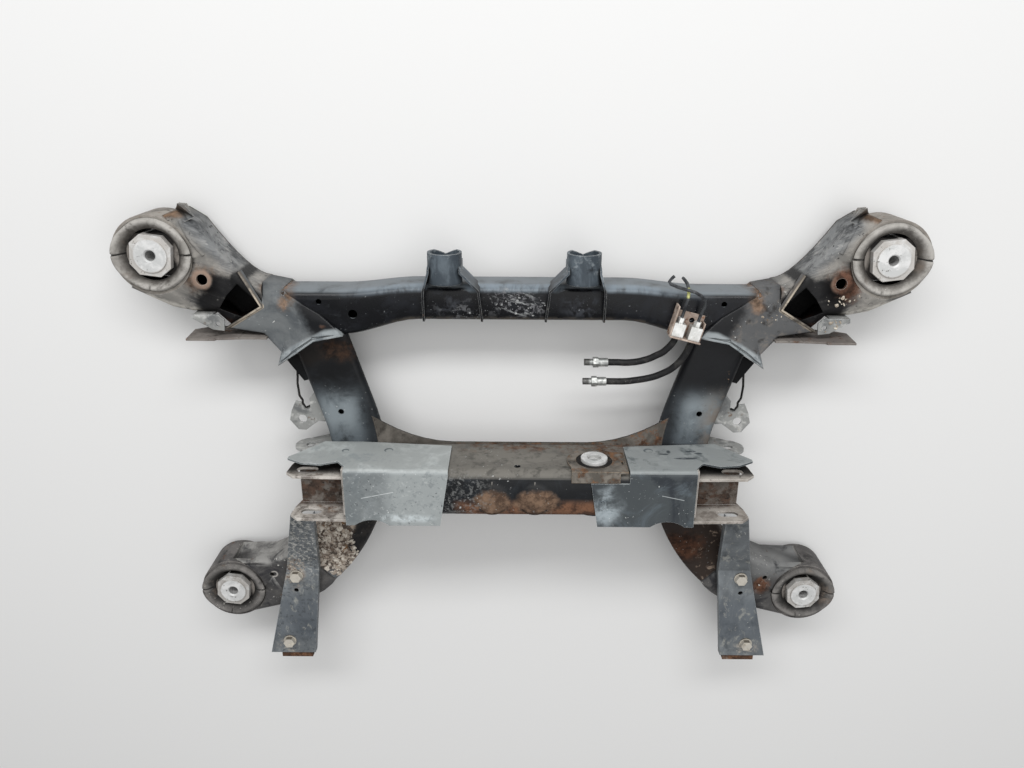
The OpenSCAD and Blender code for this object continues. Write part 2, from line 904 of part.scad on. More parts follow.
module diff_ring() {
    color("#1d1c1b") third_turned(third_ring_r, third_core_r, cross_y - cross_w, cross_y + plate_t);
}

module diff_core() {
    color("#c9cbcc")
        difference() {
            third_turned(third_core_r, third_bore_d / 2, cross_y - cross_w - 4, cross_y + plate_t + 5);
            translate([third_x, cross_y + plate_t, member_front + third_z])
                rotate([-90, 0, 0]) cylinder(r = third_core_r * 0.55, h = 6);
        }
}

// Link clevises

module clevis(side) {
    ear = [
        [cross_half, member_front],
        [member_x - 5, member_front],
        [link_x + 22, bolt_z - 34],
        [plate_out, bolt_z - 14],
        [plate_out + 2, bolt_z + 10],
        [plate_out - 10, bolt_z + 22],
        [cross_half, cross_front - 5],
    ];
    wall_z = bolt_z - 32;
    color("#a39a90")
        on_side(side)
            difference() {
                union() {
                    for (y = [ear_low_y, ear_low_y + ear_t + link_gap])
                        along_y(y, y + ear_t) polygon(ear);
                    translate([cross_half, ear_low_y, wall_z])
                        cube([link_x + 20 - cross_half, link_gap + 2 * ear_t, ear_t]);
                    translate([cross_half, cross_y - cross_w, member_front])
                        cube([ear_t, cross_w, cross_depth - 5]);
                }
                along_y(ear_low_y - 1, ear_low_y + link_gap + 2 * ear_t + 1)
                    translate([link_x - slot_l / 2, bolt_z - slot_w / 2])
                        rounded_square(slot_l, slot_w, slot_w / 2 - eps);
                translate([link_x - 12, clevis_y + 10, wall_z - 1]) cylinder(d = tube_pin_d, h = 2 * ear_t);
            }
}

// Struts and their fasteners

strut_line = [
    [ear_low_y, bolt_z + 4],
    [strut_bend_y, strut_z + sheet / 2],
    [strut_end_y, strut_z + sheet / 2]
];

module strut_plan(from, to) {
    polygon([
        [strut_x + from * strut_top_w, ear_low_y],
        [strut_foot_x + from * strut_low_w, strut_end_y],
        [strut_foot_x + to * strut_low_w, strut_end_y],
        [strut_x + to * strut_top_w, ear_low_y],
    ]);
}

module strut(side) {
    deep = [for (p = strut_line) p - [0, strut_flange / 2]];
    edge = sheet / strut_low_w;
    pilot = mid_bolt + [3, -29];
    color("#4d535a")
        on_side(side)
            difference() {
                union() {
                    intersection() {
                        along_x(0, front_bush_half) polygon(ribbon(strut_line, sheet));
                        linear_extrude(2 * cross_front) strut_plan(0, 1);
                    }
                    intersection() {
                        along_x(0, front_bush_half) polygon(ribbon(deep, sheet + strut_flange));
                        linear_extrude(2 * cross_front) {
                            strut_plan(0, edge);
                            strut_plan(1 - edge, 1);
                        }
                    }
                }
                translate([0, ear_low_y, 0]) cube([front_bush_half, link_gap, 2 * cross_front]);
                for (p = [mid_bolt, low_bolt])
                    translate([p[0], p[1], shell_z]) cylinder(d = bolt_d + bolt_fit, h = cross_front);
                translate([pilot[0], pilot[1], shell_z]) cylinder(d = tube_pin_d, h = cross_front);
            }
}

// A folded foot under each strut's lower end.
module strut_feet() {
    w = 52;
    l = 58;
    h = 18;
    x = strut_foot_x + 2 * sheet;
    y = low_bolt[1] - 36;
    color("#6b4a35")
        for (side = SIDES)
            on_side(side)
                difference() {
                    translate([x, y, strut_z - h]) cube([w, l, h]);
                    translate([x - eps, y + sheet, strut_z - h - eps])
                        cube([w + 1, l - 2 * sheet, h - sheet + eps]);
                    translate([low_bolt[0], low_bolt[1], strut_z - h])
                        cylinder(d = bolt_d + bolt_fit, h = 2 * h);
                }
}

module strut_spacers() {
    color("#8a8074")
        for (side = SIDES)
            on_side(side)
                translate([mid_bolt[0], mid_bolt[1], member_front])
                    difference() {
                        cylinder(r = bolt_d + 2, h = strut_gap);
                        translate([0, 0, -eps]) cylinder(d = bolt_d + bolt_fit, h = strut_gap + 1);
                    }
}

module flange_bolt(length) {
    cylinder(d = bolt_d, h = length + eps);
    translate([0, 0, length]) cylinder(r = washer_r, h = washer_t);
    translate([0, 0, length + washer_t - eps]) cylinder(d = head_af / cos(30), h = head_h, $fn = 6);
}

module strut_bolts() {
    color("#b5a78c")
        for (side = SIDES)
            on_side(side) {
                translate([mid_bolt[0], mid_bolt[1], member_front - 14])
                    flange_bolt(strut_gap + sheet + 14);
                translate([low_bolt[0], low_bolt[1], strut_z - 14])
                    flange_bolt(sheet + 14);
            }
}

module strut_nuts() {
    h = 9;
    color("#8d8577")
        for (side = SIDES)
            on_side(side)
                for (p = [[mid_bolt, member_front - sheet], [low_bolt, strut_z - sheet]])
                    translate([p[0][0], p[0][1], p[1] - h])
                        difference() {
                            cylinder(d = head_af / cos(30), h = h, $fn = 6);
                            translate([0, 0, -eps]) cylinder(d = bolt_d, h = h + 1);
                        }
}

// Small plates and tabs

module shelf_plate(side) {
    y = tube_low - sheet;
    slope = (lip_foot[0] - skirt_tip[0]) / (lip_foot[1] - skirt_tip[1]);
    wall_x = lip_foot[0] - slope * (lip_foot[1] - tube_low);
    z = shell_z + 20;
    h = 66;
    color("#5a5753")
        on_side(side)
            intersection() {
                translate([0, 0, z])
                    linear_extrude(h)
                        polygon([
                            [wall_x, y + sheet],
                            [wall_x - slope * sheet, y],
                            [shelf_out, y],
                            [shelf_out, y + sheet],
                        ]);
                along_y(y - 1, y + sheet + 1)
                    polygon([
                        [wall_x - 10, z],
                        [shelf_out - 25, z],
                        [shelf_out, z + 18],
                        [shelf_out - 4, z + h],
                        [shelf_out - 45, z + h],
                        [shelf_out - 47, z + h - 4],
                        [wall_x - 10, z + h - 8],
                    ]);
            }
}

module arm_tab(side) {
    wall_y = arm_low_y - 2;
    x = lip_foot[0] + 2;
    w = 46;
    leg_z = shell_z + 20;
    face_z = eye_top + 12;
    hole = [x + 10, wall_y - 14];
    color("#a9adad")
        on_side(side)
            difference() {
                union() {
                    translate([x + 18, wall_y - sheet, leg_z]) cube([w - 18, sheet, face_z - leg_z]);
                    translate([0, 0, face_z - sheet])
                        linear_extrude(sheet)
                            polygon([
                                [x + w, wall_y],
                                [x + 8, wall_y],
                                [x, wall_y - 8],
                                [x + 2, wall_y - 24],
                                [x + 18, wall_y - 22],
                                [x + w, wall_y - 6],
                            ]);
                }
                translate([hole[0], hole[1], leg_z]) cylinder(d = tab_hole_d, h = face_z);
            }
}

module cable_tab(side) {
    z = shell_z + 41;
    hole = [member_x + 46, cross_y + 33];
    color("#8b8f92")
        on_side(side)
            difference() {
                translate([0, 0, z])
                    linear_extrude(sheet)
                        polygon([
                            hole + [-60, 26], hole + [-60, -6], hole + [-24, -4], hole + [-4, -19],
                            hole + [8, -18], hole + [20, -2], hole + [16, 14], hole + [9, 29],
                            hole + [-1, 27], hole + [-5, 19], hole + [-13, 21], hole + [-13, 34],
                            hole + [-20, 43], hole + [-26, 44],
                        ]);
                member_envelope(0);
                translate([hole[0], hole[1], z - 1]) cylinder(d = cable_hole_d, h = 2 * sheet + 2);
            }
}

module link_ear(side) {
    y = cross_y - 15;
    hole = [member_x + 37, shell_z + 42];
    r = 24;
    color("#8b8f92")
        on_side(side)
            difference() {
                along_y(y, y + ear_t)
                    difference() {
                        union() {
                            translate(hole) circle(r);
                            polygon([
                                hole + [-60, 20], hole + [-60, -38], hole + [-20, -38],
                                hole + [r * 0.8, -r * 0.6], hole + [0, r],
                            ]);
                        }
                        translate(hole) circle(d = link_ear_d);
                    }
                member_envelope(0);
                translate([0, y - 1, member_front]) cube([front_bush_half, 2 * ear_t, cross_depth]);
            }
}

module wire_clip(side) {
    top = [member_x + 46, tube_low - 60, member_front - member_corner - sheet - wire_d / 2];
    foot = [member_x + 43, cross_y + 59, shell_z + 41 + sheet + wire_d / 2];
    color("#141414")
        on_side(side)
            swept_bar(
                [
                    top + [0, 6, 0], top, blend(top, foot, 0.4) + [3, 0, 1], blend(top, foot, 0.75) + [3, 0, 1],
                    foot + [0, 6, 0], foot, foot + [-4, -6, 0], foot + [-10, -4, 0],
                ],
                wire_d,
                8
            );
}

// Differential saddles and sleeves

module sleeve_envelope(x, r, extra) {
    translate([x, sleeve_y - extra, sleeve_z])
        rotate([-90, 0, 0]) cylinder(r = r, h = sleeve_l + 2 * extra);
}

module diff_sleeve(x) {
    notch = 7;
    color("#33363a")
        difference() {
            sleeve_envelope(x, sleeve_r, 0);
            sleeve_envelope(x, sleeve_r - sleeve_t, 1);
            translate([x, sleeve_y + sleeve_l, sleeve_z - 2 * sleeve_r])
                linear_extrude(2 * sleeve_r)
                    polygon([[-0.75 * sleeve_r, 1], [0, -notch], [0.75 * sleeve_r, 1]]);
        }
}

// Two cheeks hold the sleeve on the tube: the outer one is upright, the inner one splays.
module saddle(x, inward) {
    top = sleeve_y + sleeve_l - 14;
    front_low = tube_y - tube_w / 2 + 2;
    side = sleeve_r - 2;
    back = sleeve_z - sleeve_r - 1;
    cheek = function (lean)
        [
            [side, top], [side, top - 12], [side + 0.85 * lean, tube_y + tube_w / 2 - 4],
            [side + lean, front_low],
        ];
    color("#2a2c30")
        translate([x, 0, 0])
            difference() {
                intersection() {
                    union() {
                        for (c = [[inward, 30], [-inward, 9]])
                            scale_x(c[0])
                                translate([0, 0, back]) linear_extrude(saddle_front - back)
                                    polygon(ribbon(cheek(c[1]), plate_t));
                        translate([-side, tube_y, back]) cube([2 * side, top - tube_y, plate_t]);
                    }
                    along_x(-3 * sleeve_r, 3 * sleeve_r)
                        polygon([
                            [front_low, tube_front - 5],
                            [front_low, tube_front + 8],
                            [front_low + 40, saddle_front],
                            [top - 8, saddle_front],
                            [top, sleeve_z],
                            [top, back],
                            [tube_y, back],
                            [tube_y, tube_front - 5],
                        ]);
                }
                tube_envelope(-3 * sleeve_r, 3 * sleeve_r, tube_y, tube_w);
                sleeve_envelope(0, sleeve_r, 1);
            }
}

module scale_x(s) {
    if (s > 0)
        children();
    else
        mirror([1, 0, 0]) children();
}

// Body bushes

module core_outline(w) {
    rotate(core_turn) octagon(w, core_chamfer);
}

module bush_sleeve(side, c, eye_r) {
    body_r = eye_r - eye_wall;
    mouth = eye_r - flange_in;
    slit = 2;
    oval_r = eye_r * (1 / flange_oval + flange_oval) / 2;
    oval_d = eye_r * (1 / flange_oval - flange_oval) / 2;
    color("#8d8983")
        on_side(side)
            translate([c[0], c[1], 0])
                difference() {
                    union() {
                        translate([0, 0, eye_low]) cylinder(r = body_r, h = eye_top - eye_low);
                        intersection_for(s = [-1, 1])
                            translate([0, s * oval_d, eye_top]) cylinder(r = oval_r, h = flange_t);
                    }
                    translate([0, 0, -eps]) cylinder(r = body_r - sleeve_wall, h = eye_top + eps);
                    translate([0, 0, eye_top - eps])
                        cylinder(r1 = mouth - flange_t / 2, r2 = mouth, h = flange_t + 2 * eps);
                    for (a = [0, 180, 260])
                        rotate(a) translate([mouth - flange_t, -slit / 2, eye_top + flange_t / 2])
                            cube([eye_r, slit, flange_t]);
                }
}

module bush_rubber(side, c, eye_r, core_w) {
    r = eye_r - eye_wall - sleeve_wall;
    skin = 4;
    color("#3b3835")
        on_side(side)
            translate([c[0], c[1], eye_low + 4])
                linear_extrude(eye_top - eye_low - 8)
                    difference() {
                        circle(r);
                        core_outline(core_w);
                        for (s = [-1, 1])
                            intersection() {
                                circle(r - skin);
                                translate([-core_w / 2 - 2, s > 0 ? core_w / 2 + 1 : -core_w - r])
                                    square([core_w + 4, core_w / 2 + r - 1]);
                            }
                    }
}

module bush_core(side, c, core_w) {
    lead = 2;
    step = 2;
    color("#c7c8c8")
        on_side(side)
            translate([c[0], c[1], 0])
                difference() {
                    union() {
                        linear_extrude(core_h - step) core_outline(core_w);
                        cylinder(d = core_w - 10, h = core_h);
                    }
                    translate([0, 0, -eps]) cylinder(d = core_bore_d, h = core_h + 1);
                    translate([0, 0, core_h - lead])
                        cylinder(d1 = core_bore_d, d2 = core_bore_d + 2 * lead, h = lead + eps);
                }
}

// Brake hoses, their bracket and the rigid pipes

module at_hose_bracket() {
    translate([hose_mid[0], hose_mid[1], 0]) rotate(hose_turn) children();
}

module hose_bracket() {
    hole_fit = 0.6;
    floor_l = 38;
    color("#a7978a")
        at_hose_bracket()
            translate([-tray_w / 2, -tray_t, tube_front])
                difference() {
                    union() {
                        cube([tray_w, floor_l, tray_t]);
                        cube([tray_w, tray_t, tray_h]);
                        cube([tray_t, floor_l + 8, tray_h - 4]);
                        translate([tray_w - tray_t, 0, 0]) cube([tray_t, floor_l - 8, tray_h - 6]);
                    }
                    for (s = [-1, 1])
                        translate([tray_w / 2 + s * hose_pitch / 2, -1, hose_mid[2] - tube_front])
                            rotate([-90, 0, 0]) cylinder(d = hose_d + hole_fit, h = tray_t + 2);
                    translate([tray_w / 2 + 6, 27, -1]) cylinder(d = tube_pin_d, h = 2 * tray_t);
                }
}

// Square hose ends with the union nuts of the rigid pipes.
module hose_ends() {
    color("#d6d6d2")
        at_hose_bracket()
            for (s = [-1, 1])
                translate([s * hose_pitch / 2, 0, hose_mid[2]]) {
                    translate([-block_w / 2, 0, -block_h / 2]) cube([block_w, block_l, block_h]);
                    translate([0, block_l - eps, 0])
                        rotate([-90, 0, 0]) cylinder(d = block_h - 4, h = nut_l + eps, $fn = 6);
                }
}

module brake_pipes() {
    color("#8e9094") {
        swept_bar(left_pipe_route, pipe_d, 8);
        swept_bar(right_pipe_route, pipe_d, 8);
    }
}

module hose_fittings() {
    color("#b9bab6")
        for (p = [upper_route[len(upper_route) - 1], lower_route[len(lower_route) - 1]])
            translate(p)
                rotate([0, -90, 0]) {
                    cylinder(d = hose_d + 3, h = 14 + eps);
                    translate([0, 0, 14]) cylinder(d = hose_d + 6, h = 8, $fn = 6);
                    translate([0, 0, 22 - eps]) cylinder(d = hose_d, h = fitting_l - 22);
                }
}

module hose(route) {
    color("#1b1b1c") swept_bar(route, hose_d, 10);
}

cross_tube();
arm("left");  // left_arm
arm("right");  // right_arm
arm_back("left");  // left_arm_back
arm_back("right");  // right_arm_back
collar("left");  // left_collar
collar("right");  // right_collar
side_member("left");  // left_side_member
side_member("right");  // right_side_member
rear_arm("left");  // left_rear_arm
rear_arm("right");  // right_rear_arm
eyes(front_eye, front_eye_r);  // front_eyes
eyes(rear_eye, rear_eye_r);  // rear_eyes
crossmember();
crossmember_back();
bracket_plate("left", left_plate_in, left_plate_in);  // left_bracket_plate
bracket_plate("right", right_plate_in, right_flange_in);  // right_bracket_plate
clevis("left");  // left_clevis
clevis("right");  // right_clevis
strut("left");  // left_strut
strut("right");  // right_strut
strut_feet();
strut_spacers();
strut_bolts();
strut_nuts();
shelf_plate("left");  // left_shelf_plate
shelf_plate("right");  // right_shelf_plate
arm_tab("left");  // left_arm_tab
arm_tab("right");  // right_arm_tab
cable_tab("left");  // left_cable_tab
cable_tab("right");  // right_cable_tab
link_ear("left");  // left_link_ear
link_ear("right");  // right_link_ear
wire_clip("left");  // left_wire_clip
wire_clip("right");  // right_wire_clip
saddle(left_sleeve_x, 1);  // left_saddle
saddle(right_sleeve_x, -1);  // right_saddle
diff_sleeve(left_sleeve_x);  // left_diff_sleeve
diff_sleeve(right_sleeve_x);  // right_diff_sleeve
diff_plate();
diff_ring();
diff_core();
bush_sleeve("left", front_eye, front_eye_r);  // front_left_bush_sleeve
bush_rubber("left", front_eye, front_eye_r, front_core_w);  // front_left_bush_rubber
bush_core("left", front_eye, front_core_w);  // front_left_bush_core
bush_sleeve("right", front_eye, front_eye_r);  // front_right_bush_sleeve
bush_rubber("right", front_eye, front_eye_r, front_core_w);  // front_right_bush_rubber
bush_core("right", front_eye, front_core_w);  // front_right_bush_core
bush_sleeve("left", rear_eye, rear_eye_r);  // rear_left_bush_sleeve
bush_rubber("left", rear_eye, rear_eye_r, rear_core_w);  // rear_left_bush_rubber
bush_core("left", rear_eye, rear_core_w);  // rear_left_bush_core
bush_sleeve("right", rear_eye, rear_eye_r);  // rear_right_bush_sleeve
bush_rubber("right", rear_eye, rear_eye_r, rear_core_w);  // rear_right_bush_rubber
bush_core("right", rear_eye, rear_core_w);  // rear_right_bush_core
hose_bracket();
hose_ends();
brake_pipes();
hose(upper_route);  // upper_hose
hose(lower_route);  // lower_hose
hose_fittings();
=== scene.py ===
"""Rear axle subframe: camera, brake hoses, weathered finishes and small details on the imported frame."""

import math

import bmesh
import bpy
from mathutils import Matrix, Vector
from mathutils.bvhtree import BVHTree


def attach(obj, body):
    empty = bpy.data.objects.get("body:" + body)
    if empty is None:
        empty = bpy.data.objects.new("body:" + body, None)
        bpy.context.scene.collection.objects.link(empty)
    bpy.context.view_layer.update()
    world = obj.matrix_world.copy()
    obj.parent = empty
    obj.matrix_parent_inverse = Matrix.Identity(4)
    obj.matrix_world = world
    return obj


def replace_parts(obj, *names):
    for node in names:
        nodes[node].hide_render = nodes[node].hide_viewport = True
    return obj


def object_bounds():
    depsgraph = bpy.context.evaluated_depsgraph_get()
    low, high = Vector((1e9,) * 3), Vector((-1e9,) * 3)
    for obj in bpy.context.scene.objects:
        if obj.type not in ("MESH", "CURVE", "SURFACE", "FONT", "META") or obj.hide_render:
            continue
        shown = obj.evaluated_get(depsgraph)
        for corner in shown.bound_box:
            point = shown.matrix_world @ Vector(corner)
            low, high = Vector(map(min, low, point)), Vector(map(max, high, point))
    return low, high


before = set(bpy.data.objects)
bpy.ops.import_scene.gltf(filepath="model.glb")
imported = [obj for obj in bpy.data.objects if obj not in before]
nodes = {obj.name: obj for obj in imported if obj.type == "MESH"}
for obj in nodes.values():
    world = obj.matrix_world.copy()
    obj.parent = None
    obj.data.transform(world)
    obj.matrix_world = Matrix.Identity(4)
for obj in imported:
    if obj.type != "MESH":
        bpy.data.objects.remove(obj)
solid_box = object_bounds()
SIDES = {"left": -1, "right": 1}
MM = 0.001

# Places and sizes in millimetres; the bushes and the arm's boss are given for the right side
FRONT_BUSH, FRONT_EYE_R = (525, 306), 57
REAR_BUSH, REAR_EYE_R = (473, -254), 52
SADDLES = (-109, 88)
ARM_BOSS = (458, 271, 80)
REAR_ARM_HOLE = (-403, -224, 80)


def mm(*place):
    """A point given in millimetres."""
    return Vector(place) * MM


def tone(code):
    """A screen colour such as 8a8178 as linear light."""
    values = [int(code[i : i + 2], 16) / 255 for i in (0, 2, 4)]
    return tuple(v / 12.92 if v < 0.04045 else ((v + 0.055) / 1.055) ** 2.4 for v in values) + (1.0,)


def put(name, data):
    """A new object in the scene."""
    thing = bpy.data.objects.new(name, data)
    bpy.context.scene.collection.objects.link(thing)
    return thing


def feed(tree, value, socket):
    """Links a socket, or a node's first output, to an input, or sets the input to a value."""
    if isinstance(value, bpy.types.Node):
        value = value.outputs[0]
    if isinstance(value, bpy.types.NodeSocket):
        tree.links.new(value, socket)
    else:
        socket.default_value = value


def add_node(tree, kind, links=None, **settings):
    node = tree.nodes.new(kind)
    for key, value in settings.items():
        setattr(node, key, value)
    for key, value in (links or {}).items():
        feed(tree, value, node.inputs[key])
    return node


# Camera


LENS, SENSOR = 28.125, 36
CAMERA_PLACE = (-12.1, 542.4, 1202.1)
CAMERA_TURN = (-20.867, 0.166, 0.355)


def set_camera():
    data = bpy.data.cameras.new("photo_camera")
    data.lens = LENS
    data.sensor_width = SENSOR
    camera = put("photo_camera", data)
    camera.location = mm(*CAMERA_PLACE)
    camera.rotation_euler = [math.radians(a) for a in CAMERA_TURN]
    bpy.context.scene.camera = camera


# Finishes


class Finish:
    """One weathered material. All its patterns read Object coordinates, in metres."""

    def __init__(self, name, colour, rough, metal=0.0, round_edges=0.8, gloss=0.2):
        self.material = bpy.data.materials.new(name)
        self.material.use_nodes = True
        self.tree = self.material.node_tree
        self.shader = self.tree.nodes["Principled BSDF"]
        self.shader.inputs["Metallic"].default_value = metal
        self.shader.inputs["Specular IOR Level"].default_value = gloss
        self.place = self.add("ShaderNodeTexCoord").outputs["Object"]
        self.shape = self.add("ShaderNodeNewGeometry")
        self.bevel = self.add("ShaderNodeBevel", {"Radius": round_edges * MM}, samples=4)
        self.parts = self.add("ShaderNodeSeparateXYZ", {0: self.place})
        self.folded = None
        self.colour = tone(colour)
        self.rough = rough
        self.height = None

    def add(self, kind, links=None, **settings):
        return add_node(self.tree, kind, links, **settings)

    def calc(self, operation, first, second=0.0, clamp=False):
        node = self.add("ShaderNodeMath", {0: first, 1: second}, operation=operation, use_clamp=clamp)
        return node.outputs[0]

    def vector(self, operation, first, second=(0, 0, 0)):
        return self.add("ShaderNodeVectorMath", {0: first, 1: second}, operation=operation)

    def where(self, both):
        """Object coordinates, or the same with the left side folded onto the right one."""
        if not both:
            return self.place
        if self.folded is None:
            x, y, z = self.parts.outputs
            node = self.add("ShaderNodeCombineXYZ", {0: self.calc("ABSOLUTE", x), 1: y, 2: z})
            self.folded = node.outputs[0]
        return self.folded

    def turned(self, at, size, turn, both):
        """Object coordinates measured from a point, in a box of the given size, turned seen from above."""
        angles = (0, 0, math.radians(turn))
        links = {"Vector": self.where(both), "Location": at, "Rotation": angles, "Scale": size}
        return self.add("ShaderNodeMapping", links, vector_type="TEXTURE").outputs[0]

    def noise(self, scale, detail, rough, stretch=(1, 1, 1), shift=0.0, bend=0.0, turn=0.0, both=False):
        place = self.turned((shift, shift * 0.7, 0), stretch, turn, both)
        links = {"Vector": place, "Scale": scale, "Detail": detail, "Roughness": rough, "Distortion": bend}
        return self.add("ShaderNodeTexNoise", links).outputs[0]

    def step(self, value, low, high):
        """0 at low and 1 at high, eased; low may lie above high."""
        first, last = (0.0, 1.0) if low < high else (1.0, 0.0)
        links = {"Value": value, "From Min": min(low, high), "From Max": max(low, high)}
        links.update({"To Min": first, "To Max": last})
        return self.add("ShaderNodeMapRange", links, interpolation_type="SMOOTHSTEP").outputs["Result"]

    def times(self, *masks):
        product = masks[0]
        for mask in masks[1:]:
            product = self.calc("MULTIPLY", product, mask)
        return product

    def without(self, mask, hole):
        return self.calc("SUBTRACT", mask, hole, clamp=True)

    def along(self, which, low, high):
        """A ramp along one axis, in millimetres."""
        return self.step(self.parts.outputs[which], low * MM, high * MM)

    def outward(self, low, high):
        """A ramp away from the middle plane, in millimetres."""
        return self.step(self.calc("ABSOLUTE", self.parts.outputs[0]), low * MM, high * MM)

    def left(self):
        return self.along(0, 20, -20)

    def right(self):
        return self.along(0, -20, 20)

    def facing(self, direction, low, high):
        """1 on faces that look the given way."""
        node = self.vector("DOT_PRODUCT", self.shape.outputs["Normal"], Vector(direction).normalized())
        return self.step(node.outputs["Value"], low, high)

    def wander(self, reach, ragged, scale):
        if not ragged:
            return reach
        drift = self.calc("SUBTRACT", self.noise(scale, 6.0, 0.65), 0.5)
        return self.calc("ADD", reach, self.calc("MULTIPLY", drift, ragged))

    def spot(self, at, size, soft, ragged=0.0, turn=0.0, scale=90.0, both=False):
        """1 inside a rounded patch, with a soft or ragged rim. Sizes are half widths in millimetres."""
        reach = self.vector("LENGTH", self.turned(mm(*at), mm(*size), turn, both)).outputs["Value"]
        return self.step(self.wander(reach, ragged, scale), 1.0, 1.0 - soft)

    def trace(self, points, width, soft, ragged=0.0, both=False):
        """1 along a line of points seen from above. The width is a half width in millimetres."""
        flat = self.vector("MULTIPLY", self.where(both), (1, 1, 0)).outputs[0]
        nearest = None
        for a, b in zip(points, points[1:]):
            start, run = mm(*a, 0), mm(b[0] - a[0], b[1] - a[1], 0)
            from_start = self.vector("SUBTRACT", flat, start).outputs[0]
            share = self.vector("DOT_PRODUCT", from_start, run / run.length_squared).outputs["Value"]
            share = self.calc("ADD", share, 0.0, clamp=True)
            foot = self.add("ShaderNodeVectorMath", {0: run, "Scale": share}, operation="SCALE")
            gap = self.vector("LENGTH", self.vector("SUBTRACT", from_start, foot)).outputs["Value"]
            nearest = gap if nearest is None else self.calc("MINIMUM", nearest, gap)
        reach = self.calc("DIVIDE", nearest, width * MM)
        return self.step(self.wander(reach, ragged, 150.0), 1.0, 1.0 - soft)

    def edges(self):
        """1 along sharp edges, where the rounded normal leaves the true one."""
        node = self.vector("DOT_PRODUCT", self.bevel.outputs[0], self.shape.outputs["Normal"])
        return self.step(self.calc("SUBTRACT", 1.0, node.outputs["Value"]), 0.02, 0.12)

    def shade_in_corners(self, reach, low=0.75, high=0.25):
        """1 in corners and under overhangs, where shade falls; the finishes paint shade with it."""
        node = self.add("ShaderNodeAmbientOcclusion", {"Distance": reach * MM}, samples=6)
        return self.step(node.outputs["AO"], low, high)

    def blend(self, first, second, mask):
        return self.add("ShaderNodeMix", {0: mask, 6: first, 7: second}, data_type="RGBA").outputs[2]

    def lay(self, colour, mask, rough=None, strength=1.0):
        """Covers what is there with a colour, and a roughness, where the mask is 1."""
        if strength != 1.0:
            mask = self.calc("MULTIPLY", mask, strength)
        self.colour = self.blend(self.colour, tone(colour) if isinstance(colour, str) else colour, mask)
        if rough is not None:
            links = {0: mask, 2: self.rough, 3: rough}
            self.rough = self.add("ShaderNodeMix", links, data_type="FLOAT").outputs[0]

    def rise(self, mask, height):
        """Adds relief in millimetres where the mask is 1."""
        lifted = self.calc("MULTIPLY", mask, height)
        self.height = lifted if self.height is None else self.calc("ADD", self.height, lifted)

    def done(self):
        normal = self.bevel
        if self.height is not None:
            normal = self.add("ShaderNodeBump", {"Distance": MM, "Height": self.height, "Normal": normal})
        looks = {"Base Color": self.colour, "Roughness": self.rough, "Normal": normal}
        for title, value in looks.items():
            feed(self.tree, value, self.shader.inputs[title])
        return self.material

    # Layers that several finishes share

    def broken(self, scale, low, high, detail, rough, shift=0.0):
        """1 in broken patches."""
        return self.step(self.noise(scale, detail, rough, shift=shift), low, high)

    def grain(self, scale, detail, rough, height):
        """An uneven surface all over. The height is in millimetres."""
        self.rise(self.noise(scale, detail, rough), height)

    def clouds(
        self, colour, scale, low, high, rough=None, strength=1.0, mask=None, shift=0.0, bend=0.4, **more
    ):
        """Broken patches of one colour."""
        field = self.step(self.noise(scale, 8.0, 0.68, shift=shift, bend=bend, **more), low, high)
        if mask is not None:
            field = self.times(field, mask)
        self.lay(colour, field, rough, strength)

    def rust(self, mask, deep="2e221b", bright="664936", pale="95806e"):
        """Three tones of rust with a grainy rise."""
        grain = self.noise(380.0, 6.0, 0.7)
        cloud = self.noise(70.0, 7.0, 0.7, shift=3.1)
        body = self.blend(tone(deep), tone(bright), self.step(cloud, 0.36, 0.64))
        body = self.blend(body, tone(pale), self.step(grain, 0.6, 0.78))
        self.lay(body, mask, 0.9)
        self.rise(self.times(mask, grain), 0.45)

    def flecks(self, colour, size, share, mask=None, shift=0.0):
        """Small ragged chips or splashes in loose groups. The size is in millimetres."""
        edge = 0.69 - 0.14 * share
        chips = self.broken(420.0 / size, edge, edge + 0.04, 3.0, 0.6, shift)
        chips = self.times(chips, self.broken(26.0, 0.46, 0.6, 5.0, 0.6, shift + 1.7))
        if mask is not None:
            chips = self.times(chips, mask)
        self.lay(colour, chips, 0.8)
        self.rise(chips, 0.2)


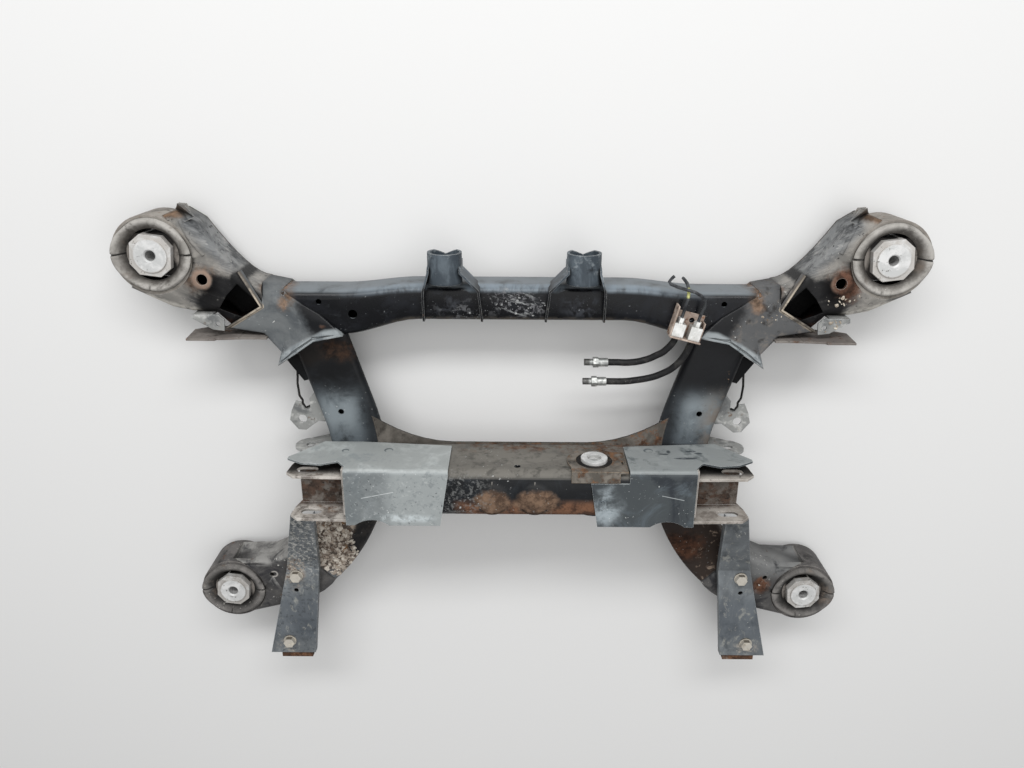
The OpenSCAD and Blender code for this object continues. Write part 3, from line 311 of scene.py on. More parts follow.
def tube_black():
    f = Finish("worn_black_tube", "0b0c0f", 0.26, round_edges=1.2)
    f.clouds("191b20", 18.0, 0.45, 0.7, 0.34)
    f.clouds("2c2f33", 60.0, 0.58, 0.74, 0.6, 0.7, shift=3.0)
    # Upward faces get a grey film: partly dust, partly painted light from above.
    top = f.facing((0, 0.97, 0.2), 0.72, 0.95)
    f.clouds("7c8286", 30.0, 0.2, 0.55, 0.6, 0.8, top, shift=2.0)
    # Painted highlight along the tube's upper corner, kept off below the saddles where they shade it.
    painted_sheen = f.times(f.facing((0, 0.75, 0.66), 0.76, 0.97), f.outward(300, 150))
    for x in SADDLES:
        painted_sheen = f.without(painted_sheen, f.spot((x, 250, 110), (40, 60, 60), 0.25))
    f.clouds("7d8891", 26.0, 0.26, 0.6, 0.4, 0.75, painted_sheen, shift=6.0, stretch=(0.5, 1.4, 1.0))
    low = f.facing((0, -1, 0.15), 0.45, 0.9)
    f.clouds("5d564e", 60.0, 0.4, 0.6, 0.85, 0.8, f.times(low, f.outward(230, 170)), shift=5.0)
    for x in SADDLES:
        near = f.spot((x, 238, 85), (42, 34, 50), 0.8, 0.6)
        f.clouds("41444a", 60.0, 0.46, 0.66, 0.7, 0.7, near, shift=7.0)
    scuff = f.spot((-4, 240, 85), (48, 24, 30), 0.5, 0.9, -12)
    f.clouds("77777a", 150.0, 0.5, 0.64, 0.85, 0.8, scuff, shift=8.0)
    streaky = dict(stretch=(2.6, 0.6, 1.0), turn=-18)
    scrape = f.spot((-6, 241, 85), (46, 26, 40), 0.7, 0.9, -14)
    f.clouds("9a9c9c", 90.0, 0.52, 0.58, 0.7, 0.85, scrape, shift=3.0, **streaky)
    worn = f.spot((-80, 228, 85), (60, 26, 40), 0.8, 0.9)
    f.clouds("5a5b5d", 70.0, 0.52, 0.6, 0.7, 0.8, worn, shift=5.0)
    f.flecks("9b9d9d", 1.6, 0.35, f.spot((-90, 226, 85), (70, 26, 40), 0.7, 0.6), 0.7)
    f.flecks("85888a", 1.5, 0.1, shift=4.2)
    ends = f.outward(322, 346)
    f.rust(f.times(ends, f.broken(45.0, 0.36, 0.56, 6.0, 0.7, 5.0)), "33291f", "7d6350", "a8937f")
    f.grain(240.0, 5.0, 0.6, 0.1)
    return f.done()


def saddle_slate():
    f = Finish("mottled_saddle", "17181b", 0.42, round_edges=1.0)
    sleeve = f.along(1, 264, 276)
    f.lay("424a51", sleeve, 0.42, 0.85)
    f.clouds("5d666d", 34.0, 0.42, 0.66, 0.5, 0.9, sleeve, stretch=(0.7, 1.6, 1.0))
    f.clouds("8f969a", 60.0, 0.55, 0.7, 0.55, 0.75, sleeve, shift=3.0)
    f.clouds("22252a", 34.0, 0.54, 0.68, 0.4, 0.9, shift=6.0)
    f.clouds("9a968f", 60.0, 0.52, 0.66, 0.8, 0.8, f.along(1, 246, 222), shift=2.0)
    f.clouds("6a5a4c", 80.0, 0.56, 0.7, 0.85, 0.8, f.along(1, 250, 225), shift=9.0)
    f.lay("a8aaa9", f.edges(), 0.5, 0.85)
    # Painted shade in corners and under overhangs.
    f.lay("101011", f.shade_in_corners(14.0, 0.6, 0.2), 0.8, 0.7)
    f.grain(180.0, 6.0, 0.66, 0.25)
    return f.done()


ARM_FLOW = 27
LIP = [(401, 285), (374, 234), (427, 202)]


def arm_weathered():
    f = Finish("weathered_arm", "6f6d69", 0.6, round_edges=1.5)
    f.clouds("97938d", 24.0, 0.4, 0.66, 0.7, 0.9, shift=1.0)
    streak = dict(stretch=(3.2, 0.55, 1.0), turn=ARM_FLOW, both=True)
    f.clouds("3f4144", 22.0, 0.5, 0.68, 0.55, 0.85, shift=2.0, **streak)
    flank = f.trace([(352, 276), (412, 300), (462, 352)], 26, 0.7, 0.5, both=True)
    f.lay("7f8386", flank, 0.5, 0.6)
    f.clouds("2e3033", 30.0, 0.47, 0.62, 0.45, 0.85, flank, shift=5.0, **streak)
    f.clouds("b0aeaa", 40.0, 0.54, 0.68, 0.7, 0.75, flank, shift=8.0, **streak)
    f.clouds("2b2c2f", 15.0, 0.55, 0.66, 0.5, 0.8, f.outward(500, 470), shift=12.0, **streak)
    f.flecks("c6c4be", 2.6, 0.15, shift=2.0)
    f.flecks("222223", 2.4, 0.45, shift=6.0)
    # The pocket under the collar's lip and the wedge beside it, painted near-black below as painted shade.
    shaded_pocket = f.trace([(444, 262), (420, 256), (392, 240), (412, 222), (452, 236)], 24, 0.5, 0.5, both=True)
    shaded_wedge = f.trace([(407, 270), (402, 255), (393, 240)], 15, 0.35, 0.3, both=True)
    stain = f.spot((462, 272, 80), (38, 27, 40), 0.8, 0.9, both=True)
    f.rust(f.times(stain, f.broken(50.0, 0.34, 0.56, 6.0, 0.7, 2.0)), "4a382d", "7c6350", "a18d7e")
    boss = f.spot(ARM_BOSS, (17, 17, 40), 0.3, 0.3, both=True)
    ring = f.without(boss, f.spot(ARM_BOSS, (8, 8, 40), 0.1, both=True))
    f.lay("917c6e", ring, 0.75, 0.85)
    right_stain = f.spot((466, 268, 80), (30, 38, 40), 0.6, 0.9)
    f.rust(right_stain, "3a2a22", "66483a", "8a7466")
    lower = f.trace([(470, 222), (490, 226), (512, 232), (540, 244)], 9, 0.7, 0.7, both=True)
    f.clouds("c4c0b8", 50.0, 0.34, 0.55, 0.75, 0.9, lower, shift=4.0)
    f.clouds("6a5a4e", 60.0, 0.56, 0.68, 0.8, 0.8, lower, shift=7.0)
    f.rust(f.spot((500, 366, 70), (36, 13, 40), 0.6, 0.8, both=True), "453930", "77614f", "a1907f")
    f.rust(f.spot((362, 258, 75), (20, 24, 50), 0.7, 0.9, both=True), "463a31", "80695a", "a99686")
    f.rust(f.trace([(442, 214), (412, 206)], 7, 0.6, 0.8, both=True), "34241c", "684534")
    f.lay("b6b4af", f.edges(), 0.55, 0.6)
    # Painted shade: the pocket and the wedge painted near-black, with dust flecks in the pocket.
    f.lay("101012", f.without(shaded_pocket, boss), 0.4, 0.97)
    f.lay("0c0c0d", shaded_wedge, 0.4, 0.98)
    f.flecks("77746f", 2.0, 0.2, shaded_pocket, 3.0)
    # Painted shade: faces turned down towards the floor painted near-black.
    f.lay("0f0f10", f.facing((0, 0, -1), 0.5, 0.85), 0.8, 0.95)
    # Painted shade in corners and under overhangs.
    f.lay("161514", f.shade_in_corners(16.0), 0.9, 0.75)
    f.grain(150.0, 7.0, 0.7, 0.45)
    return f.done()


def arm_back_dark():
    f = Finish("arm_back_shell", "3c3a38", 0.65, round_edges=0.8)
    f.clouds("5a5753", 26.0, 0.44, 0.66, 0.7, 0.9)
    f.rust(f.broken(40.0, 0.58, 0.7, 8.0, 0.7, 4.0))
    # Painted shade: faces turned to the front, seen through the arm's pocket, painted near-black.
    f.lay("0d0d0e", f.facing((0, 0, 1), 0.2, 0.6), 0.7, 0.96)
    f.lay("8a8680", f.edges(), 0.6, 0.5)
    f.grain(160.0, 7.0, 0.7, 0.35)
    return f.done()


# Paths of the skirt's painted highlight band and of its pale rim line.
SKIRT_HIGHLIGHT_BAND = [(352, 154), (318, 175), (283, 192), (254, 195)]
SKIRT_HIGHLIGHT_RIM = [(354, 150), (319, 169), (280, 187), (252, 191)]


def collar_grey():
    f = Finish("matte_collar", "66696a", 0.5, round_edges=1.5)
    f.clouds("4c5053", 16.0, 0.42, 0.66, 0.45)
    f.clouds("808384", 24.0, 0.52, 0.72, 0.6, 0.7, shift=3.0)
    right = f.right()
    f.lay("4f4f50", right, 0.5, 0.8)
    f.clouds("6d6863", 60.0, 0.5, 0.64, 0.8, 0.8, right, shift=4.0)
    f.clouds("2a2826", 46.0, 0.5, 0.66, 0.6, 0.85, right, shift=8.0)
    inner = f.trace([(284, 268), (297, 238), (282, 206)], 36, 0.5, 0.4, both=True)
    f.lay("0e0f12", inner, 0.3, 0.98)
    # Painted highlight: the flared skirt's band and rim painted pale, then mottled.
    skirt_highlight = f.trace(SKIRT_HIGHLIGHT_BAND, 11, 0.55, 0.25, both=True)
    f.lay("92989a", skirt_highlight, 0.5, 0.9)
    f.lay("b6babb", f.trace(SKIRT_HIGHLIGHT_RIM, 3, 0.6, 0.4, both=True), 0.5, 0.8)
    f.clouds("5c6266", 40.0, 0.5, 0.66, 0.55, 0.8, skirt_highlight, shift=6.0)
    neck = f.trace([(330, 276), (334, 256), (340, 238)], 15, 0.8, 1.0, both=True)
    f.rust(f.times(neck, f.broken(46.0, 0.3, 0.52, 6.0, 0.7, 2.0)), "4c3e33", "86705f", "ab9a8a")
    f.rust(f.spot((-288, 205, 92), (7, 4, 30), 0.8, 1.6), "3a2b23", "5f4a40", "7d6b5f")
    f.flecks("b9bab8", 2.0, 0.1, shift=5.0)
    f.flecks("b5b1a8", 2.6, 0.35, f.spot((372, 230, 88), (34, 22, 40), 0.7, 0.6), 9.0)
    # Painted shade: faces turned down, under the skirt, darkened except on the skirt band.
    f.lay("2b2c2e", f.without(f.facing((0, -1, -0.2), 0.35, 0.8), skirt_highlight), 0.7, 0.8)
    f.lay("a7adb1", f.times(f.edges(), f.outward(322, 340)), 0.45, 0.5)
    lip = f.times(f.trace(LIP, 4, 0.4, both=True), f.along(2, 82, 87))
    f.lay("5a554f", lip, 0.7, 0.9)
    lip_top = f.times(lip, f.facing((0, 0, 1), 0.6, 0.95))
    f.clouds("b5aa9a", 60.0, 0.36, 0.56, 0.7, 0.95, lip_top, shift=2.0)
    # Painted shade in corners and under overhangs.
    f.lay("1c1c1d", f.shade_in_corners(20.0, 0.55, 0.15), 0.9, 0.8)
    f.grain(120.0, 6.0, 0.65, 0.2)
    return f.done()


def member_dusty():
    f = Finish("dusty_side_member", "0e0f11", 0.38, round_edges=1.2)
    f.clouds("1a1c1f", 24.0, 0.46, 0.68, 0.45)
    body = f.along(1, 128, 62)
    f.clouds("545b60", 18.0, 0.28, 0.56, 0.62, 0.95, body, shift=2.0)
    crown = f.times(f.along(1, 112, 78), f.along(1, 20, 60), f.outward(318, 285), f.outward(236, 262))
    f.clouds("7b8387", 22.0, 0.26, 0.55, 0.65, 0.9, crown, shift=4.0)
    f.clouds("2a2d31", 34.0, 0.56, 0.7, 0.5, 0.8, body, shift=9.0)
    inner = f.outward(250, 226)
    f.lay("16181b", f.times(inner, f.along(1, -60, 0)), 0.4, 0.85)
    left = f.left()
    right = f.right()
    # Painted shadow under the collar skirts: on the left dark rust and a shadow patch, on the right a darker
    # band at the member's top.
    f.rust(f.times(left, f.spot((-272, 166, 80), (44, 24, 60), 0.7, 1.0)), "14100e", "36271e", "5f4e43")
    f.lay("14110f", f.times(left, f.spot((-316, 158, 80), (32, 24, 60), 0.7, 0.6)), 0.5)
    f.lay("101114", f.times(right, f.along(1, 96, 136)), 0.32, 0.9)
    film = f.times(right, f.along(1, 120, 60), f.outward(262, 300))
    f.clouds("6e655c", 40.0, 0.34, 0.56, 0.8, 0.85, film, shift=6.0)
    f.flecks("8f755e", 3.0, 0.4, f.spot((316, 112, 70), (20, 30, 60), 0.7, 0.5), 5.0)
    lower = f.along(1, -70, -98)
    brown = f.times(lower, right)
    f.lay("2a211c", brown, 0.75, 0.95)
    f.rust(f.times(brown, f.spot((262, -168, 70), (56, 40, 70), 0.6, 0.8)), "241711", "513628", "745d4e")
    f.clouds("8a7a6c", 90.0, 0.56, 0.68, 0.85, 0.85, f.times(brown, f.outward(270, 300)), shift=1.0)
    mud = f.times(lower, left)
    f.lay("4f463f", mud, 0.85, 0.95)
    f.clouds("a99c8e", 85.0, 0.47, 0.6, 0.9, 0.9, mud, shift=3.0)
    f.rust(f.times(mud, f.broken(60.0, 0.53, 0.64, 8.0, 0.7, 6.0)), "3a2619", "7e5c38", "a08a64")
    f.clouds("5d6266", 30.0, 0.4, 0.56, 0.6, 0.9, f.times(mud, f.along(1, -205, -225)), shift=5.0)
    f.lay("121315", f.trace([(-238, -100), (-250, -140), (-262, -170)], 20, 0.4, 0.4), 0.45, 0.95)
    f.flecks("a9acac", 1.8, 0.15, body, 3.0)
    f.lay("777c81", f.edges(), 0.5, 0.6)
    # Painted shade in corners and under overhangs.
    f.lay("0e0e0f", f.shade_in_corners(24.0, 0.5, 0.15), 0.8, 0.8)
    f.grain(140.0, 6.0, 0.65, 0.22)
    return f.done()


def crossmember_film():
    f = Finish("crossmember_film", "0f1114", 0.3, round_edges=1.5, gloss=0.3)
    f.clouds("23272c", 22.0, 0.48, 0.7, 0.38, 0.9)
    face = f.facing((0, 1, 0.1), 0.25, 0.7)
    f.clouds("6f6c66", 26.0, 0.18, 0.46, 0.75, 0.95, face, shift=2.0)
    f.clouds("4c4a46", 50.0, 0.5, 0.66, 0.7, 0.85, face, shift=5.0)
    f.clouds("34332f", 30.0, 0.56, 0.7, 0.6, 0.85, face, shift=8.0)
    blotches = f.broken(40.0, 0.44, 0.6, 7.0, 0.7, 4.0)
    stained = f.times(f.along(2, 116, 92), f.along(0, -110, -50), blotches)
    f.rust(f.times(face, stained), "443730", "6d5445", "8c7565")
    run = f.times(f.along(0, -102, -78), f.along(0, 132, 120), f.along(1, -26, -40))
    f.rust(f.times(run, f.broken(36.0, 0.3, 0.45, 7.0, 0.7, 1.0)), "3c291f", "71503c", "9b7f69")
    for x, width in ((-40, 32), (24, 40)):
        f.rust(f.spot((x, -34, 178), (width, 24, 30), 0.35, 0.6), "46362b", "78614f", "a5917e")
    dusty = f.times(f.along(0, -30, -70), f.facing((0, 0, 1), 0.4, 0.9))
    f.clouds("7a7b7a", 190.0, 0.5, 0.62, 0.7, 0.55, dusty, shift=6.0)
    f.flecks("b2b3b1", 1.8, 0.25, f.along(0, 30, -20), 1.0)
    f.flecks("909290", 2.2, 0.15, shift=7.0)
    f.lay("5f646b", f.edges(), 0.45, 0.45)
    # Painted shade in corners and under overhangs.
    f.lay("121110", f.shade_in_corners(20.0, 0.55, 0.15), 0.85, 0.7)
    f.grain(90.0, 6.0, 0.65, 0.25)
    return f.done()


def back_plate_brown():
    f = Finish("brown_back_plate", "4a4641", 0.7, round_edges=0.8)
    f.clouds("69645e", 26.0, 0.4, 0.65, 0.75)
    stained = f.times(f.along(0, -120, -60), f.broken(60.0, 0.48, 0.62, 8.0, 0.72, 3.0))
    f.rust(stained, "402e24", "74543e", "927660")
    f.clouds("26231f", 45.0, 0.54, 0.7, 0.8, 0.85, shift=6.0)
    f.lay("1b1a19", f.facing((0, 1, 0), 0.5, 0.9), 0.6, 0.75)
    f.lay("827c74", f.edges(), 0.6, 0.4)
    f.grain(200.0, 6.0, 0.7, 0.4)
    return f.done()


def ear_plate_brown():
    f = Finish("oval_plate", "54504a", 0.6, round_edges=1.0)
    f.clouds("7c766e", 40.0, 0.42, 0.64, 0.7, 0.9)
    f.rust(f.broken(46.0, 0.5, 0.64, 8.0, 0.7, 2.0), "3c2a20", "7a5a42", "a58a70")
    f.clouds("221f1d", 50.0, 0.56, 0.7, 0.6, 0.85, shift=6.0)
    f.lay("b09a80", f.edges(), 0.6, 0.7)
    f.grain(200.0, 6.0, 0.7, 0.35)
    return f.done()


# Pressed rings (x, z, radius) and stains (x, z, half widths) on the plates' top flanges
PLATE_TOP = 18
PLATE_RINGS = [(-198, 110, 7.5), (-263, 112, 6.0), (194, 106, 8.0)]
PLATE_STAINS = [(216, 118, 9, 3), (224, 110, 4, 6), (258, 108, 9, 3), (268, 114, 8, 2.5), (246, 132, 20, 4)]


def galvanised():
    f = Finish("galvanised_plate", "767b7c", 0.5, 0.1, round_edges=1.0)
    web = f.facing((0, 0, 1), 0.4, 0.9)
    flange = f.facing((0, 1, 0), 0.4, 0.9)
    left, right = f.left(), f.right()
    f.clouds("8d9293", 16.0, 0.44, 0.68, 0.45, 0.9, shift=2.0, bend=0.8)
    f.clouds("636a6d", 12.0, 0.5, 0.7, 0.36, 0.8, web, shift=5.0, bend=1.0)
    pale_half = f.times(left, web, f.along(0, -206, -178))
    f.lay("a0a5a5", pale_half, 0.45, 0.75)
    foot = f.times(left, f.spot((-170, -60, 178), (56, 10, 30), 0.7, 0.9, scale=50.0))
    f.clouds("c3cbcd", 60.0, 0.36, 0.56, 0.6, 0.85, foot, shift=1.0)
    right_web = f.times(right, web)
    f.lay("3e4346", right_web, 0.4, 0.9)
    f.clouds("303439", 11.0, 0.46, 0.62, 0.3, 0.9, right_web, shift=8.0, bend=0.8)
    f.clouds("5d666c", 15.0, 0.5, 0.66, 0.45, 0.85, right_web, shift=3.0, bend=0.8)
    corner = f.times(right, f.spot((126, -40, 178), (30, 40, 30), 0.8, 0.9, scale=40.0))
    f.clouds("a9b3b8", 34.0, 0.36, 0.6, 0.6, 0.85, corner, shift=6.0)
    # Painted light: the flange's upward faces lightened as if lit from above, then mottled.
    f.lay("a2a6a5", flange, 0.55, 0.9)
    f.clouds("bcc1c0", 20.0, 0.44, 0.66, 0.55, 0.8, flange, shift=7.0)
    f.clouds("888f90", 26.0, 0.54, 0.7, 0.5, 0.7, flange, shift=1.0)
    f.lay("7d8283", f.times(flange, right), 0.55, 0.55)
    f.clouds("5d6466", 30.0, 0.52, 0.66, 0.55, 0.85, f.times(flange, right), shift=4.0)
    for x, z, r in PLATE_RINGS:
        inside = f.spot((x + 1, PLATE_TOP, z + 2), (r - 1.5, 12, r - 1.5), 0.3)
        f.lay("50585d", f.without(f.spot((x, PLATE_TOP, z), (r, 12, r), 0.2), inside), 0.5, 0.85)
    for x, z, wide, long in PLATE_STAINS:
        f.lay("343a3f", f.spot((x, PLATE_TOP, z), (wide, 12, long), 0.4, 0.9, 0, 160.0), 0.5, 0.85)
    # Painted highlights: thin pale lines along the webs' folds.
    f.lay("cfd3d3", f.trace([(-230, -27), (-184, -17)], 0.7, 0.5, 0.4), 0.4, 0.75)
    f.lay("b5babb", f.trace([(206, -20), (238, -27)], 0.7, 0.5, 0.4), 0.4, 0.75)
    left_web = f.times(left, web)
    f.clouds("6d7375", 120.0, 0.52, 0.66, 0.5, 0.5, left_web, shift=11.0)
    f.clouds("b4b8b7", 150.0, 0.56, 0.68, 0.5, 0.55, left_web, shift=13.0)
    f.clouds("8d9294", 130.0, 0.54, 0.68, 0.5, 0.6, flange, shift=15.0)
    f.flecks("dfe2e1", 1.6, 0.15, web, 2.0)
    f.flecks("3c4145", 2.0, 0.3, web, 9.0)
    f.lay("cfd5d6", f.edges(), 0.45, 0.8)
    # Painted shade in corners and under overhangs.
    f.lay("2e2f30", f.shade_in_corners(12.0), 0.8, 0.6)
    f.grain(60.0, 5.0, 0.6, 0.25)
    f.grain(300.0, 4.0, 0.6, 0.06)
    return f.done()


def tab_zinc():
    f = Finish("dull_zinc_tab", "8c8d8b", 0.55, 0.1, round_edges=0.8)
    f.clouds("5f6162", 34.0, 0.48, 0.66, 0.55, 0.85)
    f.clouds("bcbcb9", 46.0, 0.5, 0.66, 0.5, 0.85, shift=4.0)
    f.rust(f.broken(55.0, 0.58, 0.68, 7.0, 0.72, 8.0), "44352b", "7d624e", "a08a78")
    f.lay("ccd0d1", f.edges(), 0.45, 0.8)
    # Painted shade in corners and under overhangs.
    f.lay("2b2826", f.shade_in_corners(10.0), 0.85, 0.7)
    f.grain(140.0, 6.0, 0.66, 0.3)
    return f.done()


def clevis_dusty():
    f = Finish("dusty_clevis", "9a948d", 0.8, round_edges=1.2)
    f.clouds("c3beb7", 34.0, 0.36, 0.58, 0.85, 0.95)
    f.clouds("6f6862", 40.0, 0.5, 0.64, 0.8, 0.9, shift=3.0)
    f.rust(f.broken(48.0, 0.58, 0.68, 8.0, 0.72, 7.0), "4a3a31", "85705f", "b0a091")
    f.lay("827b74", f.right(), 0.85, 0.4)
    # Painted shade: the clevis darkens towards its back, with rust there.
    deep = f.along(2, 136, 112)
    f.lay("5a524b", deep, 0.85, 0.8)
    shaded = f.times(f.along(1, -14, -8), f.facing((0, 1, 0), 0.5, 0.9), f.along(2, 170, 146))
    f.lay("0d0c0b", shaded, 0.9, 0.95)
    # Painted shade: near-black deeper in the clevis.
    f.lay("0f0e0d", f.times(deep, f.along(1, -60, -10)), 0.9, 0.75)
    f.rust(f.times(deep, f.broken(44.0, 0.42, 0.56, 6.0, 0.7, 2.0)), "2e221b", "5e483c", "8a7566")
    # Painted shade in corners and under overhangs.
    f.lay("141210", f.shade_in_corners(34.0, 0.6, 0.2), 0.9, 0.9)
    f.flecks("2d2926", 2.6, 0.6, shift=4.0)
    f.lay("e6e1db", f.edges(), 0.7, 0.6)
    f.grain(170.0, 8.0, 0.75, 0.6)
    return f.done()


def strut_slate():
    f = Finish("slate_strut", "5f6366", 0.5, round_edges=1.0)
    f.clouds("787d80", 20.0, 0.44, 0.66, 0.55, 0.9, stretch=(1, 2.4, 1))
    f.clouds("3d4144", 24.0, 0.5, 0.68, 0.42, 0.85, shift=5.0)
    f.lay("4f555c", f.times(f.along(1, -240, -270), f.along(1, -352, -330)), 0.4, 0.55)
    f.clouds("969690", 90.0, 0.54, 0.68, 0.85, 0.7, shift=2.0, stretch=(1, 1.8, 1))
    dusted = f.times(f.left(), f.along(1, -240, -190))
    f.clouds("b4b3ae", 170.0, 0.5, 0.6, 0.85, 0.75, dusted, shift=6.0)
    f.clouds("3a3d40", 150.0, 0.53, 0.63, 0.7, 0.6, f.left(), shift=8.0)
    crust = f.spot((-366, -210, 100), (24, 40, 50), 0.7, 1.0, scale=70.0)
    f.clouds("a0978c", 110.0, 0.44, 0.58, 0.9, 0.95, crust, shift=1.0)
    f.rust(f.times(crust, f.broken(90.0, 0.54, 0.64, 7.0, 0.7)), "3f2b20", "74563f", "9a8068")
    dusty_end = f.spot((385, -356, 96), (30, 16, 50), 0.6, 0.7, both=True)
    f.clouds("aaa399", 70.0, 0.48, 0.62, 0.85, 0.85, dusty_end, shift=3.0)
    f.flecks("bcbbb7", 2.0, 0.15, shift=1.0)
    f.lay("a2a7aa", f.edges(), 0.5, 0.7)
    # Painted shade in corners and under overhangs.
    f.lay("161616", f.shade_in_corners(14.0), 0.85, 0.65)
    f.grain(160.0, 7.0, 0.7, 0.3)
    return f.done()


def rear_arm_brown():
    f = Finish("weathered_rear_arm", "454444", 0.58, round_edges=1.5)
    f.clouds("5e5c5a", 24.0, 0.42, 0.66, 0.68, 0.9)
    # Upward faces get a pale film: partly dust, partly painted light from above.
    upper = f.facing((0, 0.95, 0.3), 0.4, 0.85)
    f.clouds("93928f", 30.0, 0.3, 0.58, 0.6, 0.85, upper, shift=6.0)
    f.lay("6c6d6d", f.times(f.right(), f.along(1, -232, -214)), 0.55, 0.8)
    f.clouds("232428", 30.0, 0.5, 0.68, 0.5, 0.9, shift=4.0, bend=0.6)
    f.rust(f.spot((402, -240, 80), (18, 22, 60), 0.6, 0.9), "33221a", "634535", "846a58")
    f.rust(f.broken(40.0, 0.62, 0.72, 8.0, 0.72, 9.0), "3a2a20", "6c4e3a", "8c745f")
    hole = f.spot(REAR_ARM_HOLE, (4, 4, 40), 0.2)
    f.lay("b4b0aa", f.without(f.spot(REAR_ARM_HOLE, (7, 7, 40), 0.3, 0.2), hole), 0.7, 0.7)
    f.flecks("b4b2ad", 2.2, 0.3, f.outward(425, 405), 3.0)
    f.flecks("9a9893", 1.8, 0.1, shift=5.0)
    f.lay("8f8c87", f.edges(), 0.55, 0.6)
    # Painted shade in corners and under overhangs.
    f.lay("181716", f.shade_in_corners(18.0), 0.9, 0.75)
    f.grain(130.0, 7.0, 0.7, 0.4)
    return f.done()


def shelf_brown():
    f = Finish("shelf_plate", "6b6561", 0.68, round_edges=0.6)
    f.clouds("827d78", 34.0, 0.42, 0.64, 0.75, 0.9)
    f.clouds("3a3633", 40.0, 0.56, 0.7, 0.6, 0.9, shift=4.0)
    f.rust(f.broken(50.0, 0.56, 0.66, 8.0, 0.7, 8.0), "3a2a20", "74543e", "93785f")
    f.lay("a39d95", f.edges(), 0.6, 0.6)
    f.grain(160.0, 7.0, 0.7, 0.35)
    return f.done()


def eye_ring(name, colour, pale, dark):
    f = Finish(name, colour, 0.68, round_edges=1.5)
    f.clouds(pale, 26.0, 0.4, 0.62, 0.75, 0.9)
    f.clouds(dark, 36.0, 0.52, 0.68, 0.7, 0.9, shift=5.0)
    f.rust(f.broken(34.0, 0.6, 0.7, 8.0, 0.72, 2.0), "3f2c22", "7c5a44", "9c8470")
    f.flecks("aeaaa3", 2.0, 0.15, shift=1.0)
    f.lay("b4aea6", f.edges(), 0.6, 0.5)
    # Painted shade in corners and under overhangs.
    f.lay("181716", f.shade_in_corners(12.0), 0.9, 0.7)
    f.grain(180.0, 7.0, 0.7, 0.4)
    return f.done()


def bush_flange(name, colour, pale, dark, centre, hollow):
    """The rubber collar on a bush, dusty, with a split at each side and a dark slope inside, which is
    painted shade that turns near-black at the mouth.
    """
    f = Finish(name, colour, 0.7, round_edges=2.5)
    f.clouds(pale, 30.0, 0.36, 0.6, 0.78, 0.9)
    f.clouds(dark, 36.0, 0.54, 0.7, 0.7, 0.8, shift=4.0)
    f.clouds("6c5f54", 24.0, 0.58, 0.7, 0.8, 0.7, shift=8.0)
    x, y = centre
    # Painted shade on the slope inside the flange.
    f.lay(dark, f.spot((x, y, 80), (hollow, hollow * 0.9, 300), 0.22, 0.25, both=True), 0.8, 0.85)
    stain = f.spot((x + 34, y, 80), (20, 26, 300), 0.7, 0.5, both=True)
    f.clouds("7b6f65", 40.0, 0.46, 0.62, 0.85, 0.7, stain, shift=2.0)
    for reach in (-48, 48):
        split = f.trace([(x + reach - 12, y + 2), (x + reach + 12, y - 1)], 1.6, 0.5, 0.8, both=True)
        f.lay("1a1918", split, 0.9, 0.9)
    f.lay(pale, f.edges(), 0.7, 0.5)
    # Painted shade: near-black at the mouth.
    mouth = hollow - 9
    f.lay("11100f", f.spot((x, y, 80), (mouth, mouth * 0.88, 300), 0.2, 0.25, both=True), 0.8, 0.85)
    # Painted shade in corners and under overhangs.
    f.lay("1b1a19", f.shade_in_corners(10.0, 0.6, 0.2), 0.9, 0.85)
    f.flecks("c4c1bb", 1.8, 0.15, shift=1.0)
    f.grain(160.0, 7.0, 0.7, 0.45)
    return f.done()


def bush_rubber():
    f = Finish("bush_rubber", "151413", 0.75, round_edges=0.6)
    f.clouds("2e2a27", 40.0, 0.46, 0.66, 0.85, 0.9)
    for (x, y), gap in ((FRONT_BUSH, 36), (REAR_BUSH, 32)):
        for side in (-1, 1):
            dust = f.spot((x + side * gap, y, 80), (9, 22, 60), 0.7, 0.6, both=True)
            f.clouds("857f79", 60.0, 0.3, 0.55, 0.9, 0.85, dust, shift=2.0)
    f.grain(240.0, 6.0, 0.7, 0.4)
    return f.done()


def mount_rubber():
    f = Finish("mount_rubber", "1a1817", 0.7, round_edges=0.6)
    f.clouds("3f3a35", 60.0, 0.46, 0.66, 0.85, 0.9)
    f.grain(240.0, 6.0, 0.7, 0.4)
    return f.done()


def bare_aluminium():
    f = Finish("bare_aluminium", "c3c4c3", 0.5, 0.25, round_edges=1.0)
    f.clouds("dededd", 44.0, 0.4, 0.6, 0.5, 0.9)
    f.clouds("a3a4a3", 60.0, 0.58, 0.72, 0.5, 0.7, shift=4.0)
    # Painted shade in corners and under overhangs.
    f.lay("6d6862", f.shade_in_corners(8.0), 0.75, 0.8)
    f.lay("f2f2f0", f.edges(), 0.35, 0.6)
    for (x, y), disc, dull in ((FRONT_BUSH, 24, "b3aea8"), (REAR_BUSH, 21, "9d9892")):
        raised = f.spot((x, y, 80), (disc, disc, 60), 0.08, both=True)
        lower_step = f.without(f.spot((x, y, 80), (40, 40, 60), 0.1, both=True), raised)
        f.clouds(dull, 50.0, 0.3, 0.55, 0.6, 0.75, lower_step, shift=5.0)
        # Painted shade: the core's centre hole darkened.
        f.lay("3f3d3b", f.spot((x, y, 80), (8, 8, 60), 0.2, both=True), 0.6, 0.9)
    f.flecks("6b6863", 1.8, 0.5, shift=2.0)
    f.grain(220.0, 6.0, 0.66, 0.25)
    return f.done()


def rusty_steel():
    f = Finish("rusty_steel", "4e3a2e", 0.85, round_edges=0.8)
    f.rust(f.broken(30.0, 0.35, 0.55, 8.0, 0.72), "342319", "74543f", "9c8068")
    f.clouds("8d857b", 50.0, 0.56, 0.7, 0.8, 0.8, shift=4.0)
    f.grain(150.0, 8.0, 0.75, 0.6)
    return f.done()


